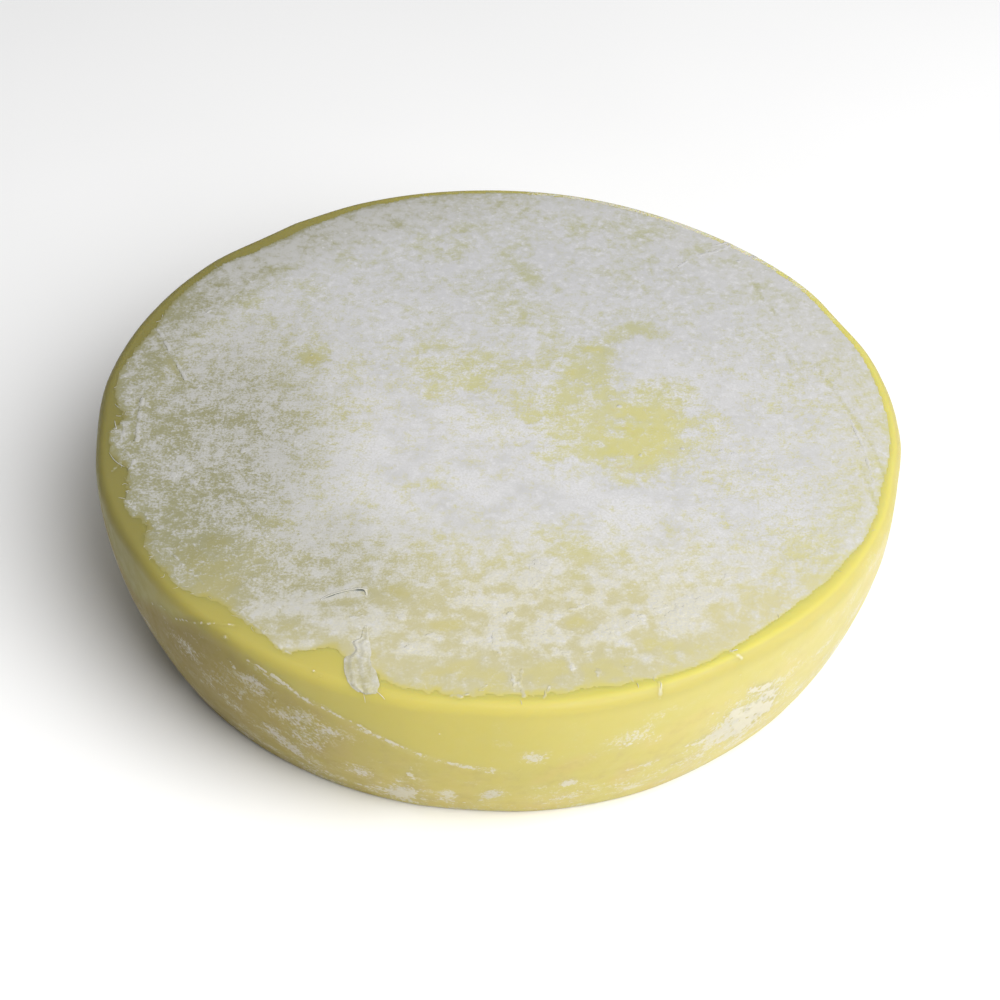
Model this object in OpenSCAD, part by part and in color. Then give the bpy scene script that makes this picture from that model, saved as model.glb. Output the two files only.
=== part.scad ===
// Shaving soap puck: a cast round of translucent soap with a dry white ash crust.
// Origin: centre of the flat base. +Z up. The front, with the torn crust, faces -Y.
// Every piece of crust lies face to face on the soap or on the film, never inside it.

/* [Soap puck] */
// Diameter at the widest ring, just under the top edge
puck_d = 80; // [70:1:90]
// Height of the soap from the base to the flat top
puck_h = 18.4; // [17:0.1:20]
// Radius of the rounded shoulder between the top and the wall
shoulder_r = 1.2; // [0.8:0.1:1.6]
// Radius of the arc that bows the wall out, from the base to the widest ring
wall_bow_r = 35.6; // [32:0.2:44]
// Rounding where the wall meets the base
base_round_r = 0.8; // [0.6:0.1:1.5]

/* [Top ash film] */
// Thickness of the ash film on the flat top
film_t = 0.16; // [0.12:0.02:0.3]
// Bare soap left between the flat top's edge and the film
film_margin = 0.3; // [0.2:0.1:0.6]
// Thickness of the loose flakes along the film's edge
flake_t = 0.24; // [0.2:0.02:0.3]
// Height of the curled lip above the film
lip_h = 0.6; // [0.4:0.05:0.8]

/* [Wall ash] */
// Thickness of the ash smears on the wall
smear_t = 0.1; // [0.08:0.02:0.16]
// Radius of the largest bead in the dashed seam line
seam_bead_r = 0.55; // [0.4:0.05:0.7]

/* [Hidden] */
$fn = 144;

// The plan positions below are written for an 80 mm puck 18.4 mm high and scale with it
plan_k = puck_d / 80;
rise_k = puck_h / 18.4;

puck_r = puck_d / 2;
ring_z = puck_h - shoulder_r;
wall_x = puck_r - wall_bow_r;
base_x = wall_x + sqrt(pow(wall_bow_r - base_round_r, 2) - pow(ring_z - base_round_r, 2));
base_lean = atan2(ring_z - base_round_r, base_x - wall_x);
base_join_z = base_round_r * (1 - sin(base_lean));
film_r = puck_r - shoulder_r - film_margin;
film_top = puck_h + film_t;

soap_colour = "#dccb6a";
ash_colour = "#d4d2ca";
flake_colour = "#e2dfd2";
smear_colour = "#e8e1cd";

// Set-backs of the film's edge: [azimuth, half width in degrees, depth in mm]
FILM_SETBACKS = [
    [128, 26, 0.7], [160, 14, 0.5], [182, 6, 1.0], [196, 9, 1.4], [208, 5, 1.2],
    [232, 12, 0.8], [247, 7, 2.4], [262, 7, 0.8], [300, 16, 0.5]
];

// Bare windows through the film: [x, y, radius]
FILM_WINDOWS = [
    [14, -2, 3.6], [8.5, -3.5, 2.8], [13, 5, 2.4], [5, 8.5, 1.6], [-5, 7.2, 1.5],
    [-19, 8.8, 1.2], [-12, 31.5, 1.3], [9, 32, 1.8], [27, 2.7, 0.8], [-4, -29.2, 1.0]
];

// The flake that hangs over the front edge, as [x, y] around its outline
FLAKE_OUTLINE = [
    [-11.7, -29.7], [-12.3, -32.2], [-13.1, -35.0], [-11.9, -36.7],
    [-10.9, -36.9], [-10.5, -35.7], [-11.0, -33.7], [-11.0, -30.7]
];

// Small flakes on the front edge: [x, y, turn, length, width]
RIM_FLAKES = [
    [-15.6, -33.6, 25, 2.0, 0.7], [-19.5, -28.2, 20, 3.4, 1.4], [-3.0, -38.0, -35, 1.0, 0.6],
    [22.0, -31.2, 40, 1.4, 0.6]
];

// Whiskers of frayed film outside the film's edge: [azimuth, length, width at the root]
WHISKERS = [
    [178, 1.0, 0.8], [184, 1.2, 1.0], [191, 1.0, 0.6], [194, 1.7, 0.7], [199, 1.2, 0.9],
    [204, 1.4, 1.0], [211, 0.9, 0.8], [259, 0.8, 0.7], [266, 1.0, 0.5], [273, 1.1, 0.5],
    [277, 1.0, 0.5], [289, 0.9, 0.5]
];

// Ridge lines on the film, each a run of [x, y] points
RIDGES = [
    [[-34.6, 12.4], [-31.5, 4.8], [-30.0, 3.8]],
    [[-35.4, 1.3], [-35.2, -4.7]],
    [[29.0, 12.3], [30.0, 10.8]],
    [[32.3, 8.3], [34.5, 5.3], [36.0, -0.7], [36.4, -7.7]]
];
ridge_w = 0.35;
ridge_h = 0.14;

// Lumps of ash on the film: [x, y, radius across, height]
GRAINS = [
    [17.5, -27.7, 1.3, 0.35], [18.2, -26.0, 0.8, 0.25], [12.5, -28.7, 0.7, 0.25],
    [-7.5, -32.7, 0.8, 0.3], [1.0, -30.7, 0.9, 0.3], [18.0, -3.7, 0.4, 0.2]
];

// Smears on the wall, each [azimuth, outline as [along the wall, height] in mm]
SMEAR_RIGHT = [-52, [
    [-2.2, 14.2], [1.6, 13.6], [3.6, 11.6], [2.8, 8.6], [1.8, 6.0], [5.0, 2.4], [4.2, 1.6],
    [1.8, 3.0], [-0.6, 6.0], [-3.4, 4.6], [-4.6, 6.6], [-5.8, 9.6], [-3.6, 10.4]
]];
SMEAR_LEFT = [-118, [
    [-1.4, 8.6], [0.4, 8.8], [0.8, 7.0], [-0.4, 4.4], [-2.2, 1.8], [-3.0, 1.4], [-2.2, 4.4], [-2.4, 6.6]
]];
SMEAR_FRONT = [-101, [
    [0.6, 8.0], [1.4, 6.0], [1.0, 2.0], [0.9, 1.2], [-2.2, 1.2], [-1.6, 2.6], [-0.4, 5.8]
]];

// Dashed seam line of ash beads on the front left wall: [azimuth, height, share of the bead radius]
SEAM_BEADS = [
    [-122.5, 16.4, 0.6], [-120.5, 16.2, 0.7], [-118.3, 16.0, 0.9], [-116.0, 15.6, 0.8],
    [-113.8, 15.2, 0.7], [-111.2, 14.8, 1.0], [-110.0, 14.5, 0.8], [-106.5, 13.9, 0.7],
    [-104.8, 13.5, 0.7], [-102.2, 12.9, 0.8], [-96.8, 11.8, 0.5], [-94.6, 10.9, 0.9],
    [-93.0, 10.6, 0.9], [-91.2, 10.3, 0.9]
];

// Single flecks on the wall: [azimuth, height, radius]
WALL_FLECKS = [
    [-127.0, 14.8, 0.6], [-89.8, 4.4, 0.8], [-89.0, 3.0, 0.5], [-79.2, 6.2, 0.8],
    [-96.0, 2.2, 0.5], [-113.5, 9.6, 0.9], [-116.0, 11.8, 0.8], [-83.6, 11.4, 0.5]
];

// Half of the puck's cross-section: flat base, rounded foot, bowed wall, shoulder, flat top
module puck_profile() {
    intersection() {
        translate([wall_x, ring_z]) circle(r = wall_bow_r);
        translate([0, base_join_z]) square([puck_r, ring_z - base_join_z]);
    }
    translate([base_x, base_round_r]) circle(r = base_round_r);
    square([base_x, base_join_z]);
    translate([puck_r - shoulder_r, ring_z]) circle(r = shoulder_r);
    translate([0, base_join_z]) square([puck_r - shoulder_r, puck_h - base_join_z]);
}

// A thin sector of skin lying on the bowed wall around one azimuth
module wall_skin(azimuth, half_angle) {
    skin_low = base_round_r + 0.2;
    rotate_extrude(angle = 2 * half_angle, start = azimuth - half_angle)
        intersection() {
            difference() {
                translate([wall_x, ring_z]) circle(r = wall_bow_r + smear_t);
                translate([wall_x, ring_z]) circle(r = wall_bow_r);
            }
            translate([puck_r / 2, skin_low]) square([puck_r, ring_z - skin_low]);
        }
}

// Points its child's plane outwards at one azimuth: x runs along the wall, y up
module outward(azimuth) {
    rotate([0, 0, azimuth])
        translate([puck_r * 0.75, 0, 0])
            rotate([90, 0, 90])
                linear_extrude(puck_r * 0.5) children();
}

module wall_smear(smear) {
    intersection() {
        wall_skin(smear[0], 14);
        outward(smear[0]) polygon([for (p = smear[1]) [p[0] * plan_k, p[1] * rise_k]]);
    }
}

module wall_dot(azimuth, height, radius) {
    intersection() {
        wall_skin(azimuth, 4);
        outward(azimuth) translate([0, height * rise_k]) circle(r = radius);
    }
}

// Pulls the film's edge inwards smoothly around each set-back
function setback(azimuth, s) =
    let (off = abs(((azimuth - s[0] + 540) % 360) - 180))
    off < s[1] ? s[2] * pow(cos(90 * off / s[1]), 2) : 0;

function film_edge(azimuth, i = 0) =
    i == len(FILM_SETBACKS) ? film_r : film_edge(azimuth, i + 1) - setback(azimuth, FILM_SETBACKS[i]);

module film_outline() {
    polygon([for (a = [0 : 3 : 357]) film_edge(a) * [cos(a), sin(a)]]);
}

module flake_outline() {
    polygon([for (p = FLAKE_OUTLINE) p * plan_k]);
}

// A loose chip: a four-sided sliver with one blunt end
module chip(length, width) {
    polygon([
        [-length / 2, 0], [-length * 0.1, width / 2], [length / 2, width * 0.15], [0, -width / 2]
    ]);
}

module rim_chips() {
    for (f = RIM_FLAKES)
        translate([f[0], f[1]] * plan_k)
            rotate(f[2]) chip(f[3], f[4]);
}

// A straight strip from p to q
module strip(p, q, width) {
    run = q - p;
    translate(p)
        rotate(atan2(run[1], run[0]))
            translate([0, -width / 2]) square([norm(run), width]);
}

module soap_body() {
    color(soap_colour) rotate_extrude() puck_profile();
}

module top_ash_film() {
    color(ash_colour)
        translate([0, 0, puck_h])
            linear_extrude(film_t)
                difference() {
                    film_outline();
                    for (w = FILM_WINDOWS)
                        translate([w[0], w[1]] * plan_k) circle(r = w[2]);
                    flake_outline();
                    rim_chips();
                }
}

// A leaf of film that has lifted along a tear: a quarter tube bent round an arc
module curled_lip() {
    lip_arc_r = 2.6;
    lip_t = 0.14;
    color(flake_colour)
        translate([-14.0 * plan_k, -28.2 * plan_k, film_top])
            rotate_extrude(angle = 110, start = 20)
                translate([lip_arc_r, 0])
                    intersection() {
                        difference() {
                            circle(r = lip_h);
                            circle(r = lip_h - lip_t);
                        }
                        square(lip_h);
                    }
}

module hanging_flake() {
    color(flake_colour) translate([0, 0, puck_h]) linear_extrude(flake_t) flake_outline();
}

module rim_flakes() {
    color(flake_colour) translate([0, 0, puck_h]) linear_extrude(flake_t) rim_chips();
}

// Whiskers start at the film's own edge, so they touch it without entering it
module rim_fringe() {
    color(ash_colour)
        translate([0, 0, puck_h])
            linear_extrude(film_t)
                difference() {
                    intersection() {
                        for (w = WHISKERS)
                            rotate(w[0])
                                translate([film_edge(w[0]) - w[2] / 2, 0])
                                    polygon([[0, -w[2] / 2], [w[1] + w[2] / 2, 0], [0, w[2] / 2]]);
                        circle(r = puck_r - shoulder_r);
                    }
                    film_outline();
                }
}

module crust_ridges() {
    color(flake_colour)
        translate([0, 0, film_top])
            linear_extrude(ridge_h)
                for (line = RIDGES, i = [0 : len(line) - 2])
                    strip(line[i] * plan_k, line[i + 1] * plan_k, ridge_w);
}

// Each grain is the cap of a sphere, flat side down on the film
module ash_grains() {
    color(flake_colour)
        for (g = GRAINS) {
            cap_r = (g[2] * g[2] + g[3] * g[3]) / (2 * g[3]);
            translate([g[0] * plan_k, g[1] * plan_k, film_top])
                intersection() {
                    translate([0, 0, g[3] - cap_r]) sphere(r = cap_r);
                    cylinder(r = g[2] * 1.5, h = g[3]);
                }
        }
}

module wall_smear_right() {
    color(smear_colour) wall_smear(SMEAR_RIGHT);
}

module wall_smear_left() {
    color(smear_colour) wall_smear(SMEAR_LEFT);
}

module wall_smear_front() {
    color(smear_colour) wall_smear(SMEAR_FRONT);
}

module seam_ash_beads() {
    color(smear_colour)
        for (b = SEAM_BEADS)
            wall_dot(b[0], b[1], b[2] * seam_bead_r);
}

module wall_ash_flecks() {
    color(smear_colour)
        for (f = WALL_FLECKS)
            wall_dot(f[0], f[1], f[2]);
}

soap_body();
top_ash_film();
curled_lip();
hanging_flake();
rim_flakes();
rim_fringe();
crust_ridges();
ash_grains();
wall_smear_right();
wall_smear_left();
wall_smear_front();
seam_ash_beads();
wall_ash_flecks();
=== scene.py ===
import math
import bpy
import bmesh
import numpy as np
from mathutils import Matrix, Vector


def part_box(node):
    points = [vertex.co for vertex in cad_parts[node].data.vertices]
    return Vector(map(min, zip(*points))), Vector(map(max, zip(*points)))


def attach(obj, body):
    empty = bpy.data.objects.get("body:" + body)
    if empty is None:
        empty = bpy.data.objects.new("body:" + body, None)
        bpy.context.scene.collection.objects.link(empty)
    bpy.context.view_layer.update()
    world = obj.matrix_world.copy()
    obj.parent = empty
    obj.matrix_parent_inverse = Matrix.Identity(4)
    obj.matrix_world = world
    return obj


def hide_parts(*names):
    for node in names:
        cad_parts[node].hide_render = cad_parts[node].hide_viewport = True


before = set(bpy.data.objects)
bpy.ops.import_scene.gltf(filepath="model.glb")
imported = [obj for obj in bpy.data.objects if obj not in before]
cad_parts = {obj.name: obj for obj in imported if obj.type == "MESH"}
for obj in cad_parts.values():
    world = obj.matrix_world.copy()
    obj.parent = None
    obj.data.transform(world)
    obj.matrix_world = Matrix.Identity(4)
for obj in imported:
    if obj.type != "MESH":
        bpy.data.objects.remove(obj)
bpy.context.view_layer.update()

# Shaving soap puck: a cast round of translucent yellow soap with a dry white ash film.
# Metres, +Z up, origin at the centre of the flat base, front towards -Y.
# Azimuths are in degrees, anticlockwise from +X. Places on the top are x, y in mm. Places on the
# side are azimuth and mm along the skin from the flat's rim, over the shoulder and down the wall.

MM = 0.001
SOAP_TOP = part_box("soap_body")[1]
FILM_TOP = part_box("top_ash_film")[1]
RADIUS = SOAP_TOP.x
HEIGHT = SOAP_TOP.z
FILM_THICK = FILM_TOP.z - HEIGHT
ROUND = 2 * math.pi * RADIUS

# The cross-section's arcs, as in the CAD body
SHOULDER_R = 1.2 * MM
WALL_BOW_R = 35.6 * MM
FOOT_R = 0.8 * MM
RING_Z = HEIGHT - SHOULDER_R
FLAT_R = RADIUS - SHOULDER_R
WALL_X = RADIUS - WALL_BOW_R
FOOT_LEAN = math.asin((RING_Z - FOOT_R) / (WALL_BOW_R - FOOT_R))
BASE_R = WALL_X + (WALL_BOW_R - FOOT_R) * math.cos(FOOT_LEAN)
RING_D = SHOULDER_R * math.pi / 2
WALL_END_D = RING_D + WALL_BOW_R * FOOT_LEAN
SKIN_END_D = WALL_END_D + FOOT_R * (math.pi / 2 - FOOT_LEAN)

# Dents in the outline: azimuth, half width in degrees, depth in mm
DENTS = [
    (131, 11, 0.42), (122, 9, 0.2), (184, 13, 0.3), (58, 24, 0.25), (27, 9, 0.3), (-10, 9, 0.22),
    (-52, 17, 0.24), (-92, 10, 0.14), (-148, 9, 0.12), (92, 14, 0.05),
]

# Set-backs of the film's edge from the flat's rim: azimuth, half width in degrees, depth in mm
SETBACKS = [
    (128, 28, 0.8), (160, 14, 0.6), (182, 6, 1.1), (196, 9, 1.6), (207, 5, 1.5), (229, 9, 1.4), (236, 6, 1),
    (247, 7, 2.7), (254, 5, 1.2), (270, 22, 0.3), (285, 12, 0.4), (318, 22, 0.8), (345, 10, 0.3),
]

# Thin or bare places in the film: x, y, half length, half width in mm, turn in degrees, depth
BARE = [
    (13.5, -3.4, 4.4, 4, 20, 0.74), (8, 0.5, 5.4, 6.8, 10, 0.56), (15.5, 2.2, 3.8, 4.4, -25, 0.68),
    (9.4, 9, 2.6, 4.4, -30, 0.66), (12.3, 13.8, 2.8, 1.2, 35, 0.5), (4.4, 9, 2.8, 1.6, 20, 0.42),
    (-5, 8, 4.6, 3.8, 25, 0.34), (-6.6, 3.6, 1.6, 1.3, 0, 0.5), (-2.6, 5.2, 2.2, 1.5, -30, 0.4),
    (1.6, 16.4, 2, 1.8, 0, 0.38), (15.2, 14.4, 2.2, 1.2, -40, 0.3), (-6.4, 28.6, 2.3, 2, 0, 0.45),
    (-12.4, 31.4, 2.2, 1, 15, 0.38), (-3.2, 31.8, 1.8, 0.9, 10, 0.32), (2.2, 24.8, 3.2, 1.1, -52, 0.42),
    (8.4, 31.8, 1.8, 2.2, 20, 0.36), (15.8, 31.6, 2.4, 1, 0, 0.26), (20.2, 29, 1.6, 0.7, 10, 0.24),
    (-19, 8.9, 1.4, 1.6, 0, 0.75), (-17.9, 10.3, 0.7, 1.1, 20, 0.35), (27, 2.7, 0.9, 0.9, 0, 0.6),
    (-27.2, 18, 2.6, 1.6, 20, 0.34), (-23.6, 23.2, 1.8, 1, 25, 0.3), (-30.4, 13.6, 2.2, 1, 35, 0.28),
    (-31.6, -2.6, 2.4, 3.2, 10, 0.3), (-27, -0.6, 3, 1.4, 0, 0.3), (-27, -13, 5.6, 4.6, 60, 0.32),
    (-21.4, -16.4, 3.4, 1.4, -8, 0.4), (-24, -20.8, 5.4, 3.4, -20, 0.44), (-17.6, -21.6, 2.8, 1, -8, 0.46),
    (-17, -1.2, 3.6, 1.6, 0, 0.16), (-6, -10.2, 3.2, 1.1, 0, 0.3), (-3, -21, 9.5, 3.4, 0, 0.26),
    (7, -19, 5, 3.6, 0, 0.22), (-16, -24.4, 3.4, 1, 12, 0.34), (-8, -26.4, 4.4, 1.8, 0, 0.38),
    (-3.6, -29.4, 2, 1.1, 5, 0.6), (8.2, -28.8, 2, 1.2, 0, 0.52), (3.4, -26.8, 2.2, 1, 0, 0.42),
    (14.2, -31, 2.4, 1.4, -20, 0.42), (11.6, -25.4, 2, 0.9, 0, 0.38), (-17.6, -30.6, 3.4, 1.2, -32, 0.36),
    (0, -34.6, 16, 2.8, 0, 0.42), (20, -28.5, 6.4, 3, 38, 0.22), (29, -19.5, 7, 4, 52, 0.14),
    (34.6, -9, 2.4, 5, -15, 0.1), (-9, -31.6, 2.6, 1.4, 0, 0.26), (24.2, -9.6, 4.4, 2.6, 20, 0.12),
    (20.6, -1.6, 2.6, 3.4, 0, 0.2), (23, 14.6, 3, 0.9, -8, 0.18), (-34.2, 4.6, 2, 4.6, 0, 0.2),
    (-33, 18, 4, 2.2, 55, 0.26), (-22, 31, 5, 1.6, 35, 0.26), (0, -26.5, 18, 3, 0, 0.16),
    (-25.4, -26.4, 3.2, 1.5, -42, 0.6), (-9.6, -25, 2.2, 1.2, 0, 0.4), (3, -30.8, 2, 0.8, 0, 0.35),
    (-13.8, -26.9, 2.4, 0.7, 12, 0.6), (-6.3, -29.4, 1.8, 1, 0, 0.4), (11, -27.2, 2.2, 0.8, 10, 0.32),
    (6, -24.6, 2.4, 0.8, 0, 0.26),
]

# Places where the film is thick and white: x, y, half length, half width in mm, turn, gain
DENSE = [
    (14.8, 10.2, 3.2, 2.8, -30, 0.5), (-10, -3, 8, 6, 0, 0.1), (10, -11.4, 14, 2.2, 0, 0.22),
    (17.4, -27.6, 1.8, 2, 20, 0.75), (18.4, -25.6, 1.3, 1.1, 0, 0.6), (12.6, -28.4, 1.1, 0.9, 30, 0.6),
    (15.4, -25.2, 1, 0.8, 0, 0.5), (4.2, -21.8, 2, 3, 0, 0.4), (-7.6, -32.6, 1.3, 0.7, 20, 0.6),
    (0.6, -31.4, 0.7, 2.2, 8, 0.65), (4.6, -30.6, 0.9, 0.6, 0, 0.5), (6.2, -32.6, 1.2, 0.6, -20, 0.4),
    (-19.6, -27.8, 4.4, 1.5, 10, 0.6), (-6.2, 28.6, 0.9, 0.7, 0, 0.5), (20, 10, 6, 7, 0, 0.1),
    (-11, 16, 7, 6, 0, 0.08), (-19, -18, 3, 1.2, -6, 0.2), (-8.5, -28.4, 1, 1.5, 0, 0.3),
    (-14.6, -25.6, 1.6, 0.7, 8, 0.3), (24, -12.6, 3, 1.4, 18, 0.2), (10.4, -30.2, 1.6, 1, 25, 0.4),
    (-1.8, -25.8, 3.4, 1, 0, 0.32), (-12, -29, 2, 0.8, 0, 0.2), (7.4, -34.6, 0.5, 1.6, 15, 0.3),
    (2, -36.4, 0.4, 1.4, 12, 0.35), (-1.6, -33, 1.6, 0.5, 25, 0.3), (-14, -19, 9, 6, 0, 0.12),
    (26, -2, 9, 12, 0, 0.08),
]

# The dashed line of white crumbs round the front left of the wall: azimuth, mm down the skin
SEAM_DASHES = [
    [(-123.6, 2.1), (-122, 2.2), (-120.6, 2.4)], [(-119.6, 2.5), (-117.9, 2.9)],
    [(-117.3, 3), (-116.9, 3.3)], [(-116.3, 3.5), (-115.8, 3.7)], [(-115.1, 4), (-113.9, 4.2)],
    [(-112.3, 4.3), (-111.2, 4.6), (-110.3, 4.7)], [(-109.8, 4.8), (-108.4, 5)],
    [(-107.3, 5.2), (-106.9, 5.3)], [(-106.5, 5.5), (-105.8, 5.9)], [(-105.2, 6.1), (-104.5, 6.3)],
    [(-103.6, 6.6), (-102.2, 6.8)], [(-101.4, 7.1), (-100.9, 7.2)], [(-99.4, 7.8), (-98.4, 8.2)],
    [(-96.9, 8.5), (-96.5, 8.6)], [(-95.4, 8.8), (-94.3, 9)], [(-93.2, 9.3), (-92.4, 9.4)],
    [(-91.4, 9.6), (-90.2, 9.7)],
]

# The line where the glossy band ends: azimuth, mm down the skin. Crumbs lie on it from one azimuth on
SEAM_LINE = [
    (-150, 7.5), (-142, 4), (-138, 3.4), (-133.8, 1.9), (-129, 0.9), (-123.2, 2.1), (-112, 4.4),
    (-103.6, 6.6), (-98.5, 8.3), (-90, 9.8),
]
SEAM_CRUMBS_FROM = -123.2

# White bloom on the wall: azimuth, mm down, half length round the wall, half height, slant, strength
BLOOM = [
    (-52, 10.5, 4.6, 4.2, -30, 0.3), (-58, 12.6, 3.6, 3, -30, 0.24), (-117, 9.8, 3.4, 2.6, -20, 0.24),
    (-113, 7.4, 2, 1.6, -15, 0.2), (-119.5, 12.9, 2.2, 1.6, 0, 0.26), (-108.6, 13.4, 1.6, 1.2, 0, 0.32),
    (-122.8, 5, 1.6, 1.1, 0, 0.34), (-101.5, 15.2, 1.6, 3.4, 8, 0.3), (-89.4, 14.8, 1.2, 1.8, 10, 0.3),
    (-79, 12.4, 0.9, 0.8, 0, 0.4), (-84, 7.4, 1.4, 1, 0, 0.2), (-68.6, 11.9, 1.6, 0.5, -10, 0.45),
    (-71.5, 6.4, 4.4, 1.8, 0, 0.22), (-66.4, 6.4, 1.6, 2.2, 0, 0.16), (-131, 10.4, 2.8, 2.8, -25, 0.14),
    (-137, 6.4, 2.4, 1.8, -30, 0.2), (-46, 15.6, 3.4, 1.6, -10, 0.34), (-36, 11, 6, 5, 0, 0.12),
    (-20, 6, 7, 6, 0, 0.16), (-95.5, 16, 0.7, 1.8, 0, 0.3), (-75, 15, 9, 2.4, 0, 0.12),
    (35, 9, 9, 4, 15, 0.3), (80, 12, 7, 3, 20, 0.35), (112, 7, 4, 3, 0, 0.25), (128, 8, 6, 5, -20, 0.3),
    (168, 12, 5, 4, 20, 0.3), (150, 5, 4, 1.4, 0, 0.25), (-160, 12, 8, 5, 0, 0.16), (8, 12, 8, 3, 8, 0.2),
    (60, 5.5, 5, 2, -6, 0.2),
]

# Fine dark creases in the film, darkened partly with painted shade, x, y in mm
CREASES = [
    [(28.9, 12.3), (29.5, 10.5)], [(35.4, -5.2), (35.9, -8.6), (36.5, -11.5)],
    [(32.2, 10.3), (32.7, 7.9), (33.7, 5.8), (34.7, 3), (35.7, 0.4), (36.6, -2.1), (37.3, -5.1),
     (37.7, -7.8)],
    [(27.4, 20.4), (28.5, 18.2)], [(26, 25.2), (27.3, 20.6)], [(-35.6, 12.2), (-31.9, 4.4), (-30.4, 3.5)],
    [(-36, 1.3), (-35.8, -4.7)],
]

# Raised ridges of crust: points, half width in mm, strength
RIDGES = [
    ([(-35.3, 13), (-33.4, 9), (-31.5, 4.8), (-30, 3.8)], 0.34, 0.95),
    ([(-35.5, 1.5), (-35.5, -1.6), (-35.3, -4.9)], 0.4, 0.9),
    ([(35, 1.3), (35.9, -2.6), (36.5, -7.7)], 0.3, 0.75), ([(32, 9.4), (33.8, 6.9)], 0.24, 0.6),
    ([(18.6, 26), (19.6, 27.2)], 0.28, 0.8), ([(21, 28.2), (22.6, 28.9), (24.2, 30)], 0.3, 0.9),
    ([(22.4, 29.9), (24.6, 31)], 0.22, 0.7), ([(25, 27.2), (27.4, 28.9)], 0.3, 0.85),
    ([(29.6, 23.6), (30.6, 25.2)], 0.26, 0.7), ([(16.4, 33.4), (19.8, 32.2)], 0.2, 0.6),
    ([(26.8, 24.8), (28.4, 26.4)], 0.2, 0.55), ([(-31.9, 14), (-27.6, 19.2)], 0.22, 0.55),
    ([(-24.6, 20.4), (-22, 22.6), (-20.8, 24.6)], 0.2, 0.5),
]

# White lumps and crumbs: x, y, half length, half width in mm, turn, strength
LUMPS = [
    (17.2, -27.4, 1.5, 1.3, 20, 0.95), (18.6, -25.4, 0.9, 0.8, 0, 0.8), (15.6, -26.2, 0.9, 0.6, 40, 0.75),
    (12.5, -28.6, 0.8, 0.6, 30, 0.85), (13.6, -27.8, 0.5, 0.4, 0, 0.7), (15.2, -25, 0.6, 0.4, 0, 0.6),
    (4.3, -21.4, 0.8, 0.9, 0, 0.7), (4.1, -23.6, 0.6, 1.2, 8, 0.8), (0.5, -31.6, 0.5, 1.6, 5, 0.9),
    (-7.6, -32.6, 0.8, 0.4, 20, 0.8), (-8.4, -28.4, 0.6, 0.9, 0, 0.7), (-5, -30.8, 0.9, 0.4, 0, 0.6),
    (4.6, -30.5, 0.6, 0.5, 0, 0.8), (6.3, -32.6, 0.9, 0.3, -20, 0.75), (8.6, -32.4, 0.8, 0.3, 10, 0.6),
    (10.5, -30, 0.9, 0.6, 25, 0.7), (1.6, -28, 1.2, 0.4, 0, 0.6), (-2, -26, 1.6, 0.5, 0, 0.6),
    (7.6, -26.6, 1, 0.5, 15, 0.65), (-12.6, -28.8, 0.8, 0.3, 10, 0.6), (18, -3.7, 0.3, 0.3, 0, 1),
    (22, -4, 0.35, 0.25, 0, 0.95), (23.1, -4.4, 0.4, 0.3, 0, 1), (-29, 2.5, 0.35, 0.3, 0, 0.9),
    (-25, -6, 0.4, 0.3, 0, 0.9), (8.8, 6, 0.5, 0.4, 0, 0.7), (12, 2.4, 0.3, 0.4, 0, 0.7),
    (-6.2, 28.6, 0.5, 0.4, 0, 0.7), (21.4, -22, 0.8, 0.4, 30, 0.55), (-30, -8.4, 0.8, 0.4, 80, 0.8),
    (-31.2, -10.2, 0.4, 0.9, 0, 0.8), (-29.2, -11, 0.5, 0.4, 0, 0.7), (-22.4, -5.4, 0.7, 0.4, 0, 0.65),
    (-24.8, -12.8, 0.9, 0.4, -10, 0.65), (7.2, -34.4, 0.3, 1.1, 15, 0.7), (9.6, -35, 0.3, 0.8, -12, 0.6),
    (2, -36.2, 0.3, 0.9, 12, 0.6), (-1.8, -33.2, 1.2, 0.3, 25, 0.55), (14, -4.9, 0.3, 0.25, 0, 0.7),
    (-19.2, 9.3, 0.3, 0.25, 0, 0.8), (-2.8, 11.2, 0.6, 0.3, 0, 0.5), (24.6, -7.2, 0.6, 0.5, 0, 0.6),
]

# Flat flakes at the film's edge, the bright edge of the film at the front left among them
EDGE_FLAKES = [
    ([(-23.1, -28.2), (-22.6, -29.2), (-21.8, -29.9), (-19.9, -32.1), (-18.8, -33.2), (-17.9, -34)],
     0.24, 0.6),
    ([(-22.4, -27.9), (-18.6, -28.6)], 0.5, 0.45), ([(-36.5, -8.2), (-37.1, -9.5)], 0.24, 0.9),
    ([(-36.3, -6.4), (-35.2, -8), (-35.6, -9.6)], 0.25, 0.75), ([(-35.8, -10.4), (-34.9, -12)], 0.26, 0.7),
    ([(-33.6, -15.2), (-32.4, -16.8), (-31.6, -18.6)], 0.24, 0.75), ([(-37, -2.2), (-36.6, -4)], 0.24, 0.7),
    ([(-36.7, 3.4), (-36.9, 1.2)], 0.22, 0.6), ([(21.6, -31.8), (22.6, -32.4)], 0.28, 0.9),
    ([(-30.4, -20.6), (-29, -22.4)], 0.22, 0.6), ([(-28.2, -23.2), (-26.8, -25)], 0.22, 0.6),
    ([(-3.4, -38.4), (-2.6, -38.5)], 0.34, 0.95), ([(-2.3, -38.3), (-1.2, -37.8), (-0.4, -37)], 0.2, 0.7),
    ([(2.7, -35), (2.5, -36.6), (2.9, -38.2)], 0.3, 0.85), ([(4.7, -38.4), (5.2, -36.9)], 0.2, 0.62),
    ([(12, -34.2), (12.5, -35.6), (13.2, -37)], 0.22, 0.75), ([(15.1, -35.9), (15.3, -37.6)], 0.3, 0.95),
]

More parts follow.
